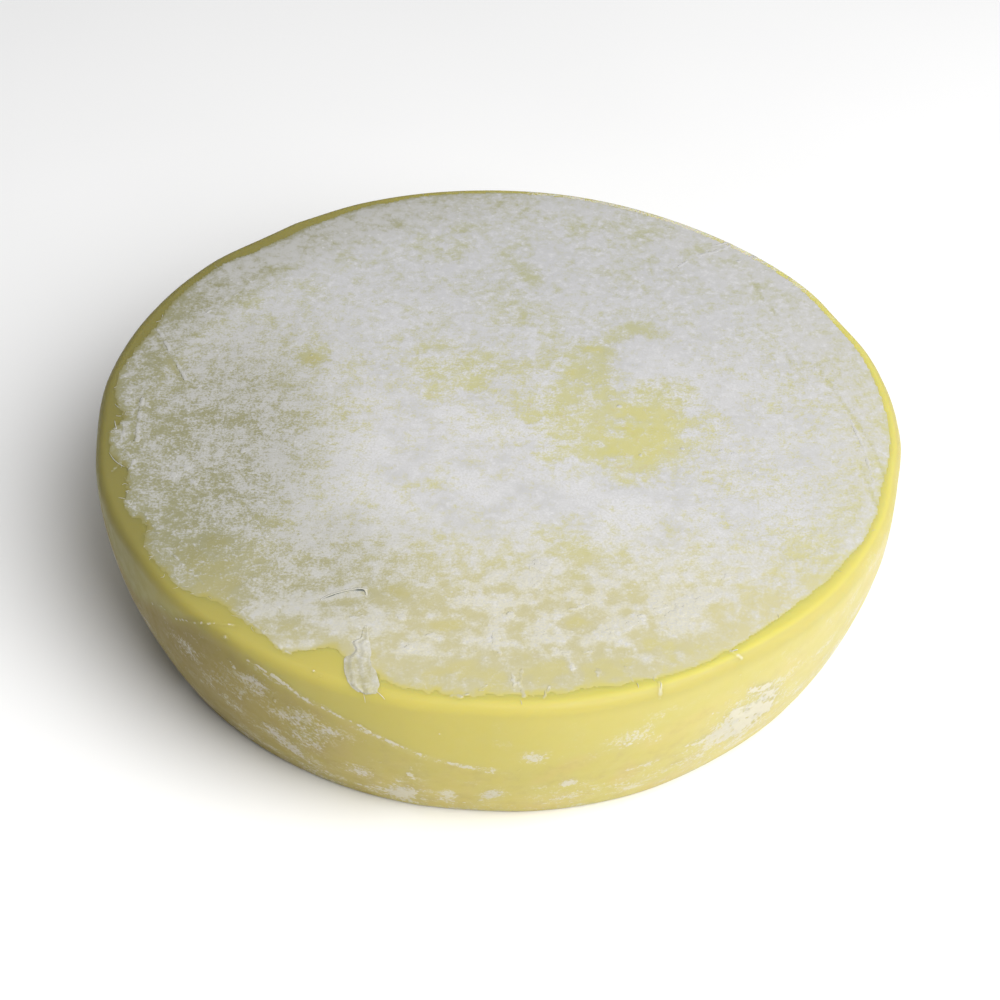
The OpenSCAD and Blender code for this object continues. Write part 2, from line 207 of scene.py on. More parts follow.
# Brushed smears on the wall: azimuth, mm down, half length, half width in mm, slant, strength
SMEAR_RIGHT = [
    (-49.6, 9.6, 2.6, 2.6, 30, 1), (-48.9, 12.6, 1.7, 2.6, 60, 1), (-53.8, 9, 2.2, 1.6, 30, 0.8),
    (-56.6, 10.8, 2.4, 0.9, 25, 0.75), (-59.8, 11.1, 1.7, 0.35, 8, 0.8), (-55.8, 12.8, 1.9, 0.6, 40, 0.7),
    (-58.2, 14.4, 0.9, 0.4, 40, 0.6), (-59, 6.4, 0.3, 0.8, 0, 0.7), (-52, 12, 1.8, 1.2, 35, 0.7),
    (-51.4, 6.6, 2, 0.7, 20, 0.75),
]
SMEAR_LEFT = [
    (-119.5, 12.9, 1.4, 1.1, 0, 0.85), (-118, 15, 1.6, 0.4, 25, 0.75), (-116.4, 8.6, 1.6, 1.2, -10, 0.55),
    (-114.6, 11.4, 1.6, 1, -10, 0.5), (-122.2, 11.3, 0.7, 0.5, 0, 0.65), (-119, 6.2, 0.6, 0.7, 30, 0.7),
    (-122.8, 4.9, 1, 0.7, 0, 0.6), (-116.6, 6.4, 0.9, 0.4, 10, 0.6), (-110.8, 7.8, 0.7, 0.9, 0, 0.5),
    (-108.8, 13.6, 0.9, 0.5, 0, 0.7), (-106.6, 12.3, 0.6, 0.3, 0, 0.6), (-113.2, 9.4, 0.9, 1.1, 0, 0.45),
    (-117.2, 10.6, 0.8, 0.8, 0, 0.5), (-111.6, 13, 0.8, 0.5, 20, 0.5),
]
SMEAR_FRONT = [
    (-101.4, 15.8, 1.2, 1.9, 12, 0.95), (-100.6, 12.4, 0.5, 1.8, 8, 0.7), (-103, 17, 1, 1, 0, 0.8),
    (-99.4, 17.2, 0.7, 1, 0, 0.7),
]

# Small marks on the wall and shoulder
FLECKS = [
    (-126.5, 4.1, 0.55, 0.6, 0, 1), (-135, 6.7, 0.7, 0.9, 20, 0.5), (-97, 16.6, 0.4, 0.9, 0, 0.8),
    (-89.4, 14.6, 0.9, 0.9, 20, 0.75), (-91, 16.4, 0.4, 0.6, 0, 0.7), (-79, 12.4, 0.6, 0.4, 0, 0.85),
    (-83.4, 7.4, 0.7, 0.4, 0, 0.6), (-68.4, 11.85, 1, 0.22, 6, 0.85), (-113.8, 0.45, 0.35, 0.2, 20, 0.9),
    (-112.5, 0.75, 0.4, 0.18, 20, 0.9), (-55.8, 2.7, 0.6, 0.2, 10, 0.6), (-63, 14, 0.7, 0.2, 10, 0.6),
    (-74.2, 7.3, 0.9, 0.25, 10, 0.5), (-71.8, 7.2, 0.8, 0.3, 15, 0.5), (-96.4, 4.4, 0.3, 0.2, 0, 0.6),
    (-86, 9.6, 0.3, 0.25, 0, 0.6), (-127.8, 1.1, 0.4, 0.25, 0, 0.6), (-104.6, 16.6, 0.5, 0.4, 0, 0.6),
    (-45, 17.2, 1.6, 0.22, 0, 0.75), (-38.6, 17.3, 2, 0.2, 0, 0.7), (-31, 17.2, 1.6, 0.18, 0, 0.65),
    (-52.6, 17.2, 1.4, 0.2, 0, 0.6), (-118, 17.2, 1.4, 0.3, 0, 0.55), (-109, 17.2, 1.2, 0.3, 0, 0.6),
    (-94, 17.3, 1, 0.25, 0, 0.65), (-126.2, 8.2, 0.4, 0.8, 0, 0.5), (70, 9, 1.6, 0.5, 20, 0.7),
    (95, 6.5, 0.6, 0.5, 0, 0.7), (122, 11, 1.2, 0.8, -20, 0.7), (158, 8, 0.7, 0.6, 0, 0.7),
    (176, 13.4, 1.4, 0.7, 15, 0.7), (24, 12, 1.5, 0.5, 20, 0.7), (-12, 10.4, 0.5, 0.4, 0, 0.6),
    (42, 5, 0.5, 0.4, 0, 0.6), (-168, 9, 0.8, 0.5, 10, 0.6), (140, 14.6, 1, 0.5, 0, 0.6),
]

# The thin white line where the dry wall meets the glossy shoulder at the left
ARC_LINE = [
    (-143.5, 4.6), (-140.5, 3.3), (-138, 3.5), (-133.8, 1.9), (-130.8, 0.8), (-128.5, -0.2), (-127.2, -0.7),
]

# Hanging flake: mm along the skin, azimuth of its left and right edges
FLAKE_STATIONS = [
    (-7.2, -111.3, -111), (-6.4, -111.5, -110.3), (-5.7, -111.3, -109.6), (-5.1, -111.1, -109.1),
    (-4.4, -111.9, -108.5), (-3.5, -110.7, -107.8), (-2.4, -111.1, -106.8), (-1.4, -110.6, -105.9),
    (-0.5, -109.9, -105.2), (0.2, -109.3, -105), (0.7, -108.5, -104.9), (1, -107.3, -105.4),
]

# Curled lip: x, y in mm along its crest, how far it is raised and how much painted shadow the slot under it
# gets
LIP_CREST = [
    (-15.9, -26.7, 0.15, 0.2), (-15.3, -26.25, 0.35, 0.8), (-14.6, -25.85, 0.5, 0.9),
    (-13.8, -25.5, 0.45, 0.4), (-13, -25.25, 0.5, 0.5), (-12.5, -25.15, 0.8, 1), (-12, -25.2, 0.85, 1),
    (-11.8, -25.45, 0.4, 0.4), (-11.7, -25.9, 0.1, 0),
]

# The lip's section: forward reach and height in mm at full lift, and how much painted shadow it has there
LIP_SECTION = [
    (-0.46, -0.05, 0), (-0.26, 0.08, 0), (-0.1, 0.19, 0), (0.02, 0.24, 0), (0.12, 0.22, 0),
    (0.14, 0.18, 0.2), (0.08, 0.15, 0.9), (0.04, 0.06, 1), (0.16, 0.03, 1), (0.28, 0.02, 0.8),
    (0.36, -0.05, 0),
]

# Whiskers scattered at random: from azimuth, to azimuth, how many
WHISKER_ZONES = [(165, 238, 40), (100, 165, 8), (256, 300, 5), (300, 350, 3)]

# Whiskers placed one by one: azimuth and mm along the skin at both ends, bend in degrees, radius in mm
WHISKERS = [
    (-67.2, 0.2, -67.6, 0.9, 0.1, 0.05), (-70.3, -0.4, -70.4, 0.3, 0.1, 0.035),
    (-105.3, 0.5, -103.6, 1.2, 0.2, 0.04), (-86.2, 0, -86, 0.6, 0.1, 0.035),
    (-55.9, -0.1, -54.9, 0.1, 0.3, 0.06), (-106.6, 1, -106.2, 2, 0.1, 0.025),
    (-172, -0.7, -171.2, -1.6, 0.2, 0.04), (-166.2, -1.7, -168.6, -0.5, 0.3, 0.035),
    (-170, -0.2, -167.6, -0.9, 0.2, 0.03), (-177.2, -0.6, -174.9, -0.9, 0.1, 0.05),
]


# ---------------------------------------------------------------- fields

def smooth(edge0, edge1, value):
    t = np.clip((value - edge0) / (edge1 - edge0), 0.0, 1.0)
    return t * t * (3.0 - 2.0 * t)


def value_noise(u, v, cell_mm, seed, octaves=3, wrap=None):
    """Smooth noise from about -1 to 1 over u, v in metres. wrap is the length at which it closes along u."""
    lattice = 257
    total = np.zeros(np.broadcast(u, v).shape)
    share = 0.0
    for octave in range(octaves):
        table = np.random.RandomState(seed + 31 * octave).uniform(-1, 1, (lattice, lattice))
        step = cell_mm * MM / 2 ** octave
        around = lattice if wrap is None else max(1, int(round(wrap / step)))
        step_u = step if wrap is None else wrap / around
        a, b = u / step_u, v / step
        ia, ib = np.floor(a).astype(int), np.floor(b).astype(int)
        fa, fb = a - ia, b - ib
        fa = fa ** 3 * (fa * (fa * 6 - 15) + 10)
        fb = fb ** 3 * (fb * (fb * 6 - 15) + 10)
        a0, a1 = ia % around % lattice, (ia + 1) % around % lattice
        b0, b1 = ib % lattice, (ib + 1) % lattice
        low = table[a0, b0] * (1 - fa) + table[a1, b0] * fa
        high = table[a0, b1] * (1 - fa) + table[a1, b1] * fa
        weight = 0.55 ** octave
        total = total + weight * (low * (1 - fb) + high * fb)
        share += weight
    return total / share


def turned(x, y, turn):
    c, s = math.cos(math.radians(turn)), math.sin(math.radians(turn))
    return x * c + y * s, y * c - x * s


def blob(x, y, cx, cy, half_x, half_y, turn, ragged=0.0):
    """1 inside an ellipse in mm, falling smoothly to 0 outside it."""
    along, across = turned(x / MM - cx, y / MM - cy, turn)
    return 1.0 - smooth(0.25, 1.6, np.sqrt((along / half_x) ** 2 + (across / half_y) ** 2) + ragged)


def line_distance(x, y, points):
    """Distance in mm from a polyline whose points are in mm."""
    nearest = np.full(np.broadcast(x, y).shape, 1e3)
    for (x0, y0), (x1, y1) in zip(points, points[1:]):
        px, py = x / MM - x0, y / MM - y0
        length = math.hypot(x1 - x0, y1 - y0)
        ux, uy = (x1 - x0) / length, (y1 - y0) / length
        t = np.clip(px * ux + py * uy, 0.0, length)
        nearest = np.minimum(nearest, np.hypot(px - t * ux, py - t * uy))
    return nearest


def wrapped(azimuth):
    """The same azimuth, between -180 and 180 degrees."""
    return (azimuth + 540.0) % 360.0 - 180.0


def azimuth_of(x, y):
    """From 0 to 360 degrees."""
    return np.degrees(np.arctan2(y, x)) % 360.0


def bump_at(azimuth, centre, half_width):
    """1 at the centre azimuth, falling to 0 at half_width degrees from it."""
    off = np.abs(wrapped(azimuth - centre))
    return np.where(off < half_width, np.cos(0.5 * math.pi * np.minimum(off / half_width, 1.0)) ** 2, 0.0)


def dent(azimuth):
    """How far the outline lies inside the full radius, in metres."""
    depth = np.zeros_like(azimuth)
    for *place, amount in DENTS:
        depth = np.maximum(depth, amount * bump_at(azimuth, *place))
    return depth * MM


def outline_pull(azimuth, r):
    """How far the dents draw in a point at radius r, in metres."""
    return dent(azimuth % 360.0) * smooth(0.2, 0.97, r / RADIUS)


def ring_way(azimuth):
    """How far round the widest ring an azimuth lies, in metres, from 0 to ROUND."""
    return np.radians(azimuth % 360.0) * RADIUS


def wall_pull(azimuth, d):
    """The wall's shallow unevenness, in metres inward."""
    s = ring_way(azimuth)
    wave = value_noise(s, d, 9.0, 51, 2, wrap=ROUND)
    pit = value_noise(s, d * 1.6, 2.2, 52, 3, wrap=ROUND)
    scrape = value_noise(s, d * 3.0, 6.0, 53, 3, wrap=ROUND)
    return MM * (0.055 * (1 + wave) + 0.02 * (1 + pit) + 0.02 * (1 + scrape))


def polar(azimuth, r, z):
    """The point at an azimuth in degrees, a radius and a height."""
    a = np.radians(azimuth)
    return np.stack([r * np.cos(a), r * np.sin(a), z], -1)


def skin(azimuth, d, height):
    """The point at an azimuth, d metres along the skin from the flat's rim, standing off by height.
    d below 0 is on the flat top."""
    azimuth, d, height = np.broadcast_arrays(azimuth, d, height)
    shoulder = np.clip(d, 0.0, RING_D) / SHOULDER_R
    lean = np.clip(d - RING_D, 0.0, WALL_END_D - RING_D) / WALL_BOW_R
    foot = np.clip(d - WALL_END_D, 0.0, SKIN_END_D - WALL_END_D) / FOOT_R
    r = FLAT_R + np.minimum(d, 0.0) + SHOULDER_R * np.sin(shoulder) + WALL_BOW_R * (np.cos(lean) - 1.0)
    z = RING_Z + SHOULDER_R * np.cos(shoulder) - WALL_BOW_R * np.sin(lean)
    r = r - FOOT_R * (math.cos(FOOT_LEAN) - np.cos(FOOT_LEAN + foot)) * (foot > 0)
    z = z - FOOT_R * (np.sin(FOOT_LEAN + foot) - math.sin(FOOT_LEAN)) * (foot > 0)
    down = np.where(d < RING_D, shoulder - math.pi / 2, lean + foot)
    uneven = smooth(0.0, RING_D, d) * (1.0 - smooth(WALL_END_D - 1.5 * MM, SKIN_END_D, d))
    r = r - outline_pull(azimuth, r) - uneven * wall_pull(azimuth, d)
    return polar(azimuth, r + height * np.cos(down), z - height * np.sin(down))


def film_edge(azimuth):
    """Radius of the film's edge, before it frays."""
    inset = 0.05 - 0.6 * bump_at(azimuth, 45, 80)
    for *place, amount in SETBACKS:
        inset = inset + amount * bump_at(azimuth, *place)
    return FLAT_R - dent(azimuth) - inset * MM


def film_presence(x, y):
    """Distance inside the film's frayed edge, in metres; negative outside."""
    azimuth = azimuth_of(x, y)
    left = bump_at(azimuth, 195, 50)
    front = bump_at(azimuth, 262, 52)
    fray = value_noise(x, y, 2.4, 11, 2) * 0.26
    fray = fray + value_noise(x, y, 0.8, 12, 2) * (0.08 + 0.42 * left + 0.34 * front)
    fray = fray + value_noise(x, y, 0.45, 13, 2) * (0.05 + 0.2 * left + 0.16 * front)
    return film_edge(azimuth) - np.hypot(x, y) + (fray - 0.05) * MM


def seam_depth(azimuth):
    """How far down the skin, in mm, the glossy band ends and the dry wall begins."""
    line = [(-180, 2.4), (-164, 3.2)] + SEAM_LINE + [(-60, 5.0), (-30, 2.4)]
    return np.interp(wrapped(azimuth), [p[0] for p in line], [p[1] for p in line])


def painted_shade(azimuth, d):
    """Painted shade on the bare soap, from 0 to 1: most along the shaded left rim and wall, on the side away
    from the key light.
    """
    turn = [-180, -150, -135, -118, -104, -88, -75, 40, 80, 112, 140, 180]
    shoulder = [1.0, 0.9, 0.56, 0.28, 0.12, 0.02, 0.0, 0.0, 0.28, 0.78, 0.96, 1.0]
    wall = [0.85, 1.0, 0.96, 0.6, 0.24, 0.06, 0.0, 0.0, 0.2, 0.6, 0.75, 0.85]
    off = wrapped(azimuth)
    down = np.clip((d / MM - np.maximum(seam_depth(azimuth) - 0.9, 0.5)) / 2.4, 0.0, 1.0)
    return np.interp(off, turn, shoulder) * (1.0 - down) + np.interp(off, turn, wall) * down


def crease_marks(x, y, core=0.05, side=0.42):
    """For each crease, a field that is 1 along it and 0 from side mm away."""
    return [1.0 - smooth(core, side, line_distance(x, y, crease)) for crease in CREASES]


def coverage(x, y):
    """How much white ash hides the soap, from 0 to 1, over the flat top."""
    wide = value_noise(x, y, 7.0, 21, 3)
    mid = value_noise(x * 0.8, y, 1.9, 22, 4)
    fine = value_noise(x * 0.8, y, 0.8, 23, 2)
    ragged = 0.42 * mid + 0.26 * fine
    r, azimuth = np.hypot(x, y) / MM, azimuth_of(x, y)
    front = bump_at(azimuth, 285, 78)
    cover = 0.78 + 0.17 * wide + 0.2 * mid + 0.11 * fine
    cover = cover - 0.2 * smooth(-12.0, -27.0, y / MM) - (0.22 + 0.2 * wide) * front * smooth(31.0, 37.0, r)
    thin = np.zeros_like(x)
    for *place, depth in BARE:
        spot = depth * blob(x, y, *place, ragged)
        thin = np.maximum(thin, spot) + 0.3 * np.minimum(thin, spot)
    cover = cover - thin * (1.0 + 0.25 * fine)
    for *place, gain in DENSE:
        cover = cover + gain * blob(x, y, *place, ragged)
    left = bump_at(azimuth, 190, 68)
    cover = cover - 0.1 * blob(x, y, -28, -8, 14, 24, 0) - 0.26 * left * smooth(29.0, 37.0, r)
    for mark in crease_marks(x, y):
        cover = cover - (0.36 + 0.3 * mid) * mark
    cover = np.clip(cover, 0.0, 1.0)
    worn = np.maximum(bump_at(azimuth, 195, 60), bump_at(azimuth, 262, 60))
    edge = smooth(-0.4 * MM, (0.75 + 0.6 * worn) * MM, film_presence(x, y))
    return cover * edge - 0.35 * (1.0 - edge)


def weave(x, y):
    """How strongly the cloth's print shows, from 0 to 1."""
    shown = 0.2 + 0.9 * blob(x, y, -30, -8, 15, 24, -8) + 0.4 * blob(x, y, -14, -22, 12, 6, -15)
    shown = shown + 0.45 * blob(x, y, 28, 0, 12, 16, 0) + 0.3 * blob(x, y, -2, 4, 14, 9, 0)
    shown = shown + 0.2 * blob(x, y, 28, -18, 10, 10, 40)
    return np.clip(shown - 0.1 * smooth(16, 30, y / MM), 0.0, 1.0)


def film_shade(x, y):
    """Painted shade on the film, from 0 to 1: along the shaded left rim, over the left and front left, where
    the light falls off, and in the creases.
    """
    rim = painted_shade(np.degrees(np.arctan2(y, x)), 0.0 * x) * smooth(27.0, 37.5, np.hypot(x, y) / MM)
    spread = np.maximum(0.92 * blob(x, y, -30, -8, 15, 24, -8), 0.62 * blob(x, y, -20, -22, 15, 12, 0))
    for mark in crease_marks(x, y):
        spread = np.maximum(spread, 0.34 * mark)
    return np.clip(np.maximum(rim, spread), 0.0, 1.0)


def film_reach(x, y):
    """Distance in metres inside the film's outermost edge, where it is clear and thin."""
    rim = FLAT_R - 0.03 * MM - dent(azimuth_of(x, y)) - np.hypot(x, y)
    return np.minimum(film_presence(x, y) + 0.05 * MM, rim)


def film_top(x, y):
    """The film's thickness in metres, over the flat top."""
    fine = value_noise(x, y, 0.9, 61, 3)
    thread_x = value_noise(x * 0.3, y, 0.55, 62, 2)
    thread_y = value_noise(x, y * 0.3, 0.55, 63, 2)
    pebble = np.maximum(0, value_noise((x + y) * 0.7, (y - x) * 0.9, 0.8, 64, 1))
    relief = 0.2 + 0.26 * np.maximum(coverage(x, y), 0.0) + 0.1 * fine
    relief = relief + (0.05 + 0.09 * weave(x, y)) * (thread_x + thread_y)
    relief = relief + 0.2 * pebble * blob(x, y, 30, -18, 9, 17, 50)
    for mark in crease_marks(x, y, 0.0, 0.3):
        relief = relief - 0.22 * mark
    return FILM_THICK * np.clip(relief, 0.06, 0.95) * smooth(0.0, 1.5 * MM, film_reach(x, y))


def round_mm(azimuth):
    """How far round the widest ring an azimuth lies, in mm."""
    return math.radians(azimuth) * RADIUS / MM


def wall_bloom(azimuth, d):
    """How much the wall is whitened, from 0 to 1: dry bloom, with a painted highlight on the right shoulder
    and a paler haze to the right and at the far rim.
    """
    s = ring_way(azimuth)
    mid = value_noise(s, d, 2.6, 41, 4, wrap=ROUND)
    streak = value_noise(s, d * 2.6, 3.4, 42, 3, wrap=ROUND)
    bloom = 0.12 + 0.09 * mid + 0.05 * streak
    dry_from = np.where(wrapped(azimuth) > -90.0, 2.2, seam_depth(azimuth))
    under = smooth(-0.3, 1.2, d / MM - dry_from + 0.5 * mid)
    left = bump_at(azimuth, -128, 52)
    bloom = bloom * (0.35 + 0.65 * under) * (1.0 - 0.5 * left) + 0.1 * left * under * (1.0 + mid)
    for centre, down, half_s, half_d, slant, strength in BLOOM:
        along = wrapped(azimuth - centre) * math.pi / 180.0 * RADIUS
        spot = blob(along, d, 0.0, down, half_s, half_d, slant, 0.45 * mid)
        bloom = bloom + strength * spot * np.clip(0.85 + 0.5 * streak + 0.9 * mid, 0.1, 1.5)
    seam = [(round_mm(a) % (ROUND / MM), down) for a, down in SEAM_LINE if a >= SEAM_CRUMBS_FROM]
    near_seam = 1.0 - smooth(0.1, 0.75, line_distance(s, d, seam) + 0.35 * streak)
    bloom = bloom + 0.1 * smooth(13.0, 18.0, d / MM) + 0.3 * near_seam
    # glint: a painted highlight, partly dry bloom, on the shoulder at the right where the key light's
    # highlight falls
    glint = smooth(0.45, 1.1, d / MM) * (1.0 - smooth(2.2, 3.6, d / MM)) * (0.7 + 0.4 * mid)
    pale = bump_at(azimuth, 0, 75) * (0.07 + 0.05 * streak) + 0.16 * bump_at(azimuth, -10, 64) * glint
    pale = pale + 0.6 * bump_at(azimuth, 62, 54) * (1.0 - smooth(0.5, 1.9, d / MM))
    return np.clip(bloom * smooth(1.0 * MM, 3.2 * MM, d) + pale, 0.0, 1.0)


def wall_gloss(azimuth, d):
    """1 on the glossy shoulder, 0 on the drier wall below it."""
    ragged = value_noise(ring_way(azimuth), d, 5, 71, 3, ROUND)
    off_line = d / MM - seam_depth(azimuth) + 0.8 * ragged
    return (1.0 - smooth(-0.8, 1.0, off_line)) * (1.0 - 0.3 * bump_at(azimuth, -8, 70))


# ---------------------------------------------------------------- meshes

# Points round the body, and the bloom on its base
BODY_STEPS = 720
BASE_BLOOM = 0.25
# Cells of the grids that the film and the crusts are cut from, in mm
FILM_CELL = 0.27
SPOT_CELL = 0.13
# How far above the soap the lip starts, in mm
LIP_GROUND = 0.07
# How far a crust's edge goes into what it lies on
SINK = 0.012 * MM


def linked(name, data):
    """A new object in the scene."""
    thing = bpy.data.objects.new(name, data)
    bpy.context.collection.objects.link(thing)
    return thing


def mesh_object(name, vertices, faces, attributes=None):
    mesh = bpy.data.meshes.new(name)
    mesh.from_pydata([tuple(p) for p in vertices], [], faces)
    for label, values in (attributes or {}).items():
        layer = mesh.attributes.new(label, "FLOAT", "POINT")
        layer.data.foreach_set("value", np.asarray(values, dtype=np.float32))
    mesh.polygons.foreach_set("use_smooth", [True] * len(mesh.polygons))
    mesh.update()
    return linked(name, mesh)


def ring_faces(rows, count):
    """Quads between rows of count points each, closed around every row."""
    faces = []
    for a in range(0, (rows - 1) * count, count):
        for j in range(count):
            k = (j + 1) % count
            faces.append((a + j, a + k, a + count + k, a + count + j))
    return faces


def make_body():
    """The soap: rings of points down the skin from near the top's centre, then in under the base."""
    around = BODY_STEPS
    stations = list(np.linspace(1.5 * MM - FLAT_R, 0, 27))
    stations += list(np.linspace(0, RING_D, 9)[1:]) + list(np.linspace(RING_D, WALL_END_D, 52)[1:])
    stations += list(np.linspace(WALL_END_D, SKIN_END_D, 6)[1:])
    azimuth = np.linspace(0, 360, around, endpoint=False)
    depths, azimuths = np.meshgrid(stations, azimuth, indexing="ij")
    upper = skin(azimuths, depths, 0.0)
    base_r, base_a = np.meshgrid(np.linspace(BASE_R, 2.0 * MM, 16)[1:], azimuth, indexing="ij")
    base = polar(base_a, base_r - outline_pull(base_a, base_r), 0 * base_r)
    points = np.concatenate([upper.reshape(-1, 3), base.reshape(-1, 3), [(0, 0, HEIGHT), (0, 0, 0)]])
    rings = len(stations) + len(base_r)
    top_centre, base_centre = rings * around, rings * around + 1
    faces = [(a, d, c, b) for a, b, c, d in ring_faces(rings, around)]
    last = (rings - 1) * around
    for j in range(around):
        k = (j + 1) % around
        faces.append((top_centre, j, k))
        faces.append((base_centre, last + k, last + j))
    layers = {}
    fields = [("bloom", wall_bloom, BASE_BLOOM), ("gloss", wall_gloss, 0.0), ("painted_shade", painted_shade, 0.0)]
    for label, field, on_base in fields:
        layers[label] = np.append(field(azimuths, depths).ravel(), np.full(base_r.size + 2, on_base))
    return mesh_object("soap_puck", points, faces, layers)


def marching_faces(field):
    """Cuts a grid of cells along the field's zero line. Returns the kept nodes, the cut edges
    as (node, node, share), and faces that index first the nodes and then the cuts."""
    inside = field > 0
    index = -np.ones(field.shape, dtype=int)
    kept = np.argwhere(inside)
    index[inside] = np.arange(len(kept))
    cuts, cut_index, faces = [], {}, []
    count = inside[:-1, :-1].astype(int) + inside[1:, :-1] + inside[:-1, 1:] + inside[1:, 1:]
    for i, j in np.argwhere(count == 4):
        faces.append((index[i, j], index[i + 1, j], index[i + 1, j + 1], index[i, j + 1]))
    for i, j in np.argwhere((count > 0) & (count < 4)):
        ring = [(i, j), (i + 1, j), (i + 1, j + 1), (i, j + 1)]
        face = []
        for p, q in zip(ring, ring[1:] + ring[:1]):
            if inside[p]:
                face.append(index[p])
            if inside[p] != inside[q]:
                key = (min(p, q), max(p, q))
                if key not in cut_index:
                    cut_index[key] = len(kept) + len(cuts)
                    lo, hi = key
                    cuts.append((lo, hi, field[lo] / (field[lo] - field[hi])))
                face.append(cut_index[key])
        if len(face) > 2:
            faces.append(tuple(face))
    return kept, cuts, faces


def marched_values(values, kept, cuts):
    """Values of a grid at the kept nodes and, in between, at the cuts."""
    at_nodes = values[kept[:, 0], kept[:, 1]]
    at_cuts = [values[lo] + (values[hi] - values[lo]) * t for lo, hi, t in cuts]
    return np.concatenate([at_nodes, at_cuts]) if cuts else at_nodes


def crust(u, v, field, thickness, place, attributes, with_back=True):
    """The points, faces and layers of a closed crust: its front stands thickness above the surface
    that place(u, v, height) gives, its back lies just inside it, and they meet on the field's zero line."""
    kept, cuts, faces = marching_faces(field)
    nodes = len(kept)
    uu, vv = marched_values(u, kept, cuts), marched_values(v, kept, cuts)
    height = marched_values(thickness, kept, cuts)
    height[nodes:] = -SINK
    front = place(uu, vv, height)
    layers = {k: marched_values(f, kept, cuts) for k, f in attributes.items()}
    if not with_back:
        return front, faces, layers
    back = place(uu[:nodes], vv[:nodes], np.full(nodes, -2.5 * SINK))
    total = len(uu)
    back_faces = [tuple(total + i if i < nodes else i for i in reversed(face)) for face in faces]
    layers = {k: np.concatenate([f, f[:nodes]]) for k, f in layers.items()}
    return np.concatenate([front, back]), faces + back_faces, layers


def merged(name, parts):
    """One object from the points, faces and layers of many parts."""
    points = np.concatenate([part[0] for part in parts])
    starts = np.cumsum([0] + [len(part[0]) for part in parts])
    faces = [tuple(int(start) + i for i in face) for part, start in zip(parts, starts) for face in part[1]]
    layers = {key: np.concatenate([part[2][key] for part in parts]) for key in parts[0][2]}
    return mesh_object(name, points, faces, layers)


def close_back(piece):
    """Fills a level open rim with flat triangles, holes included."""
    work = bmesh.new()
    work.from_mesh(piece.data)
    rim = [e for e in work.edges if e.is_boundary]
    made = bmesh.ops.triangle_fill(work, use_beauty=False, use_dissolve=False, edges=rim)
    for face in (g for g in made["geom"] if isinstance(g, bmesh.types.BMFace)):
        face.smooth = False
        if face.normal.z > 0:
            face.normal_flip()
    work.to_mesh(piece.data)
    work.free()


def on_soap(x, y, height):
    return np.stack([x, y, HEIGHT + height], -1)


def on_film(x, y, height):
    """Over the film; past the flat's rim it follows the shoulder down."""
    r, azimuth = np.hypot(x, y), np.degrees(np.arctan2(y, x))
    d = r - FLAT_R + outline_pull(azimuth, r)
    return skin(azimuth, d, film_top(x, y) + height)


def on_side(s, d, height):
    return skin(np.degrees(s / RADIUS), d, height)


def grid(u0, u1, v0, v1, step_mm):
    """A grid over limits in mm, in metres."""
    u = np.arange(u0, u1 + step_mm, step_mm) * MM
    v = np.arange(v0, v1 + step_mm, step_mm) * MM
    return np.meshgrid(u, v, indexing="ij")


def film_layers(x, y, lift=0.0):
    """The film's surface attributes; lift whitens it."""
    cover = coverage(x, y) + lift
    return {"cover": cover, "weave": weave(x, y), "painted_shade": film_shade(x, y), "dark": 0.0 * cover}


def side_layers(s, d, lift=0.0):
    """The wall's surface attributes; lift whitens it."""
    azimuth = np.degrees(s / RADIUS)
    bloom = wall_bloom(azimuth, d) + lift
    return {"bloom": bloom, "gloss": wall_gloss(azimuth, d), "painted_shade": painted_shade(azimuth, d)}


def plain_layers(cover, dark=0.0, shade=0.0):
    """Attributes for the leaves and whiskers that stand clear of the film; shade is painted shade on them
    and dark is painted shadow.
    """
    cover = np.asarray(cover, dtype=float)
    none = 0.0 * cover
    return {"cover": cover, "weave": none + 0.3, "painted_shade": none + shade, "dark": none + dark}


def make_film():
    reach = FLAT_R / MM + 0.3
    x, y = grid(-reach, reach, -reach, reach, FILM_CELL)
    sheet = crust(x, y, film_reach(x, y), film_top(x, y), on_soap, film_layers(x, y), with_back=False)
    film = merged("ash_film", [sheet])
    close_back(film)
    return film


def spot_shape(spot, wall):
    """A grid over one spot, how strong the crust is on it, and the spot's turn."""
    cu, cv, half_u, half_v, turn, strength = spot
    cu = round_mm(cu) if wall else cu
    reach = 1.45 * max(half_u, half_v)
    u, v = grid(cu - reach, cu + reach, cv - reach, cv + reach, SPOT_CELL)
    return u, v, strength * blob(u, v, cu, cv, half_u, half_v, turn), turn


def line_shape(line, wall):
    """A grid over one line, how strong the crust is along it, and no turn."""
    points, width, strength = line
    points = [(round_mm(p[0]), p[1]) for p in points] if wall else points
    us, vs = zip(*points)
    cell = min(SPOT_CELL, width / 3)
    u, v = grid(min(us) - width, max(us) + width, min(vs) - width, max(vs) + width, cell)
    return u, v, strength * (1.0 - np.clip(line_distance(u, v, points) / width, 0, 1) ** 2), 0


def crust_piece(name, place, spots, lines, thick_mm, seed, lift, broken, edge, brush):
    """Irregular thin crusts at the given spots and lines. They are whitened by lift, broken up by
    noise, cut where they are weaker than edge, and streaked along their turn by brush."""
    wall = place is on_side
    parts = []
    shapes = [spot_shape(spot, wall) for spot in spots] + [line_shape(line, wall) for line in lines]
    for u, v, body, turn in shapes:
        along, across = turned(u, v, turn)
        streak = value_noise(along / brush, across, 0.8, seed, 3)
        lumps = value_noise(u, v, 0.36, seed + 5, 2)
        field = body * (1.0 + 0.5 * streak) + broken * (0.5 * streak + 0.6 * lumps) * (body > 0.05) - edge
        field[0, :] = field[-1, :] = field[:, 0] = field[:, -1] = -0.1
        if not (field > 0).any():
            continue
        rise = smooth(0.0, 0.8, field)
        height = thick_mm * MM * rise * (0.7 + 0.35 * lumps + 0.25 * streak)
        layers = side_layers(u, v, lift * rise) if wall else film_layers(u, v, lift * rise)
        parts.append(crust(u, v, field, height, place, layers))
    return merged(name, parts)


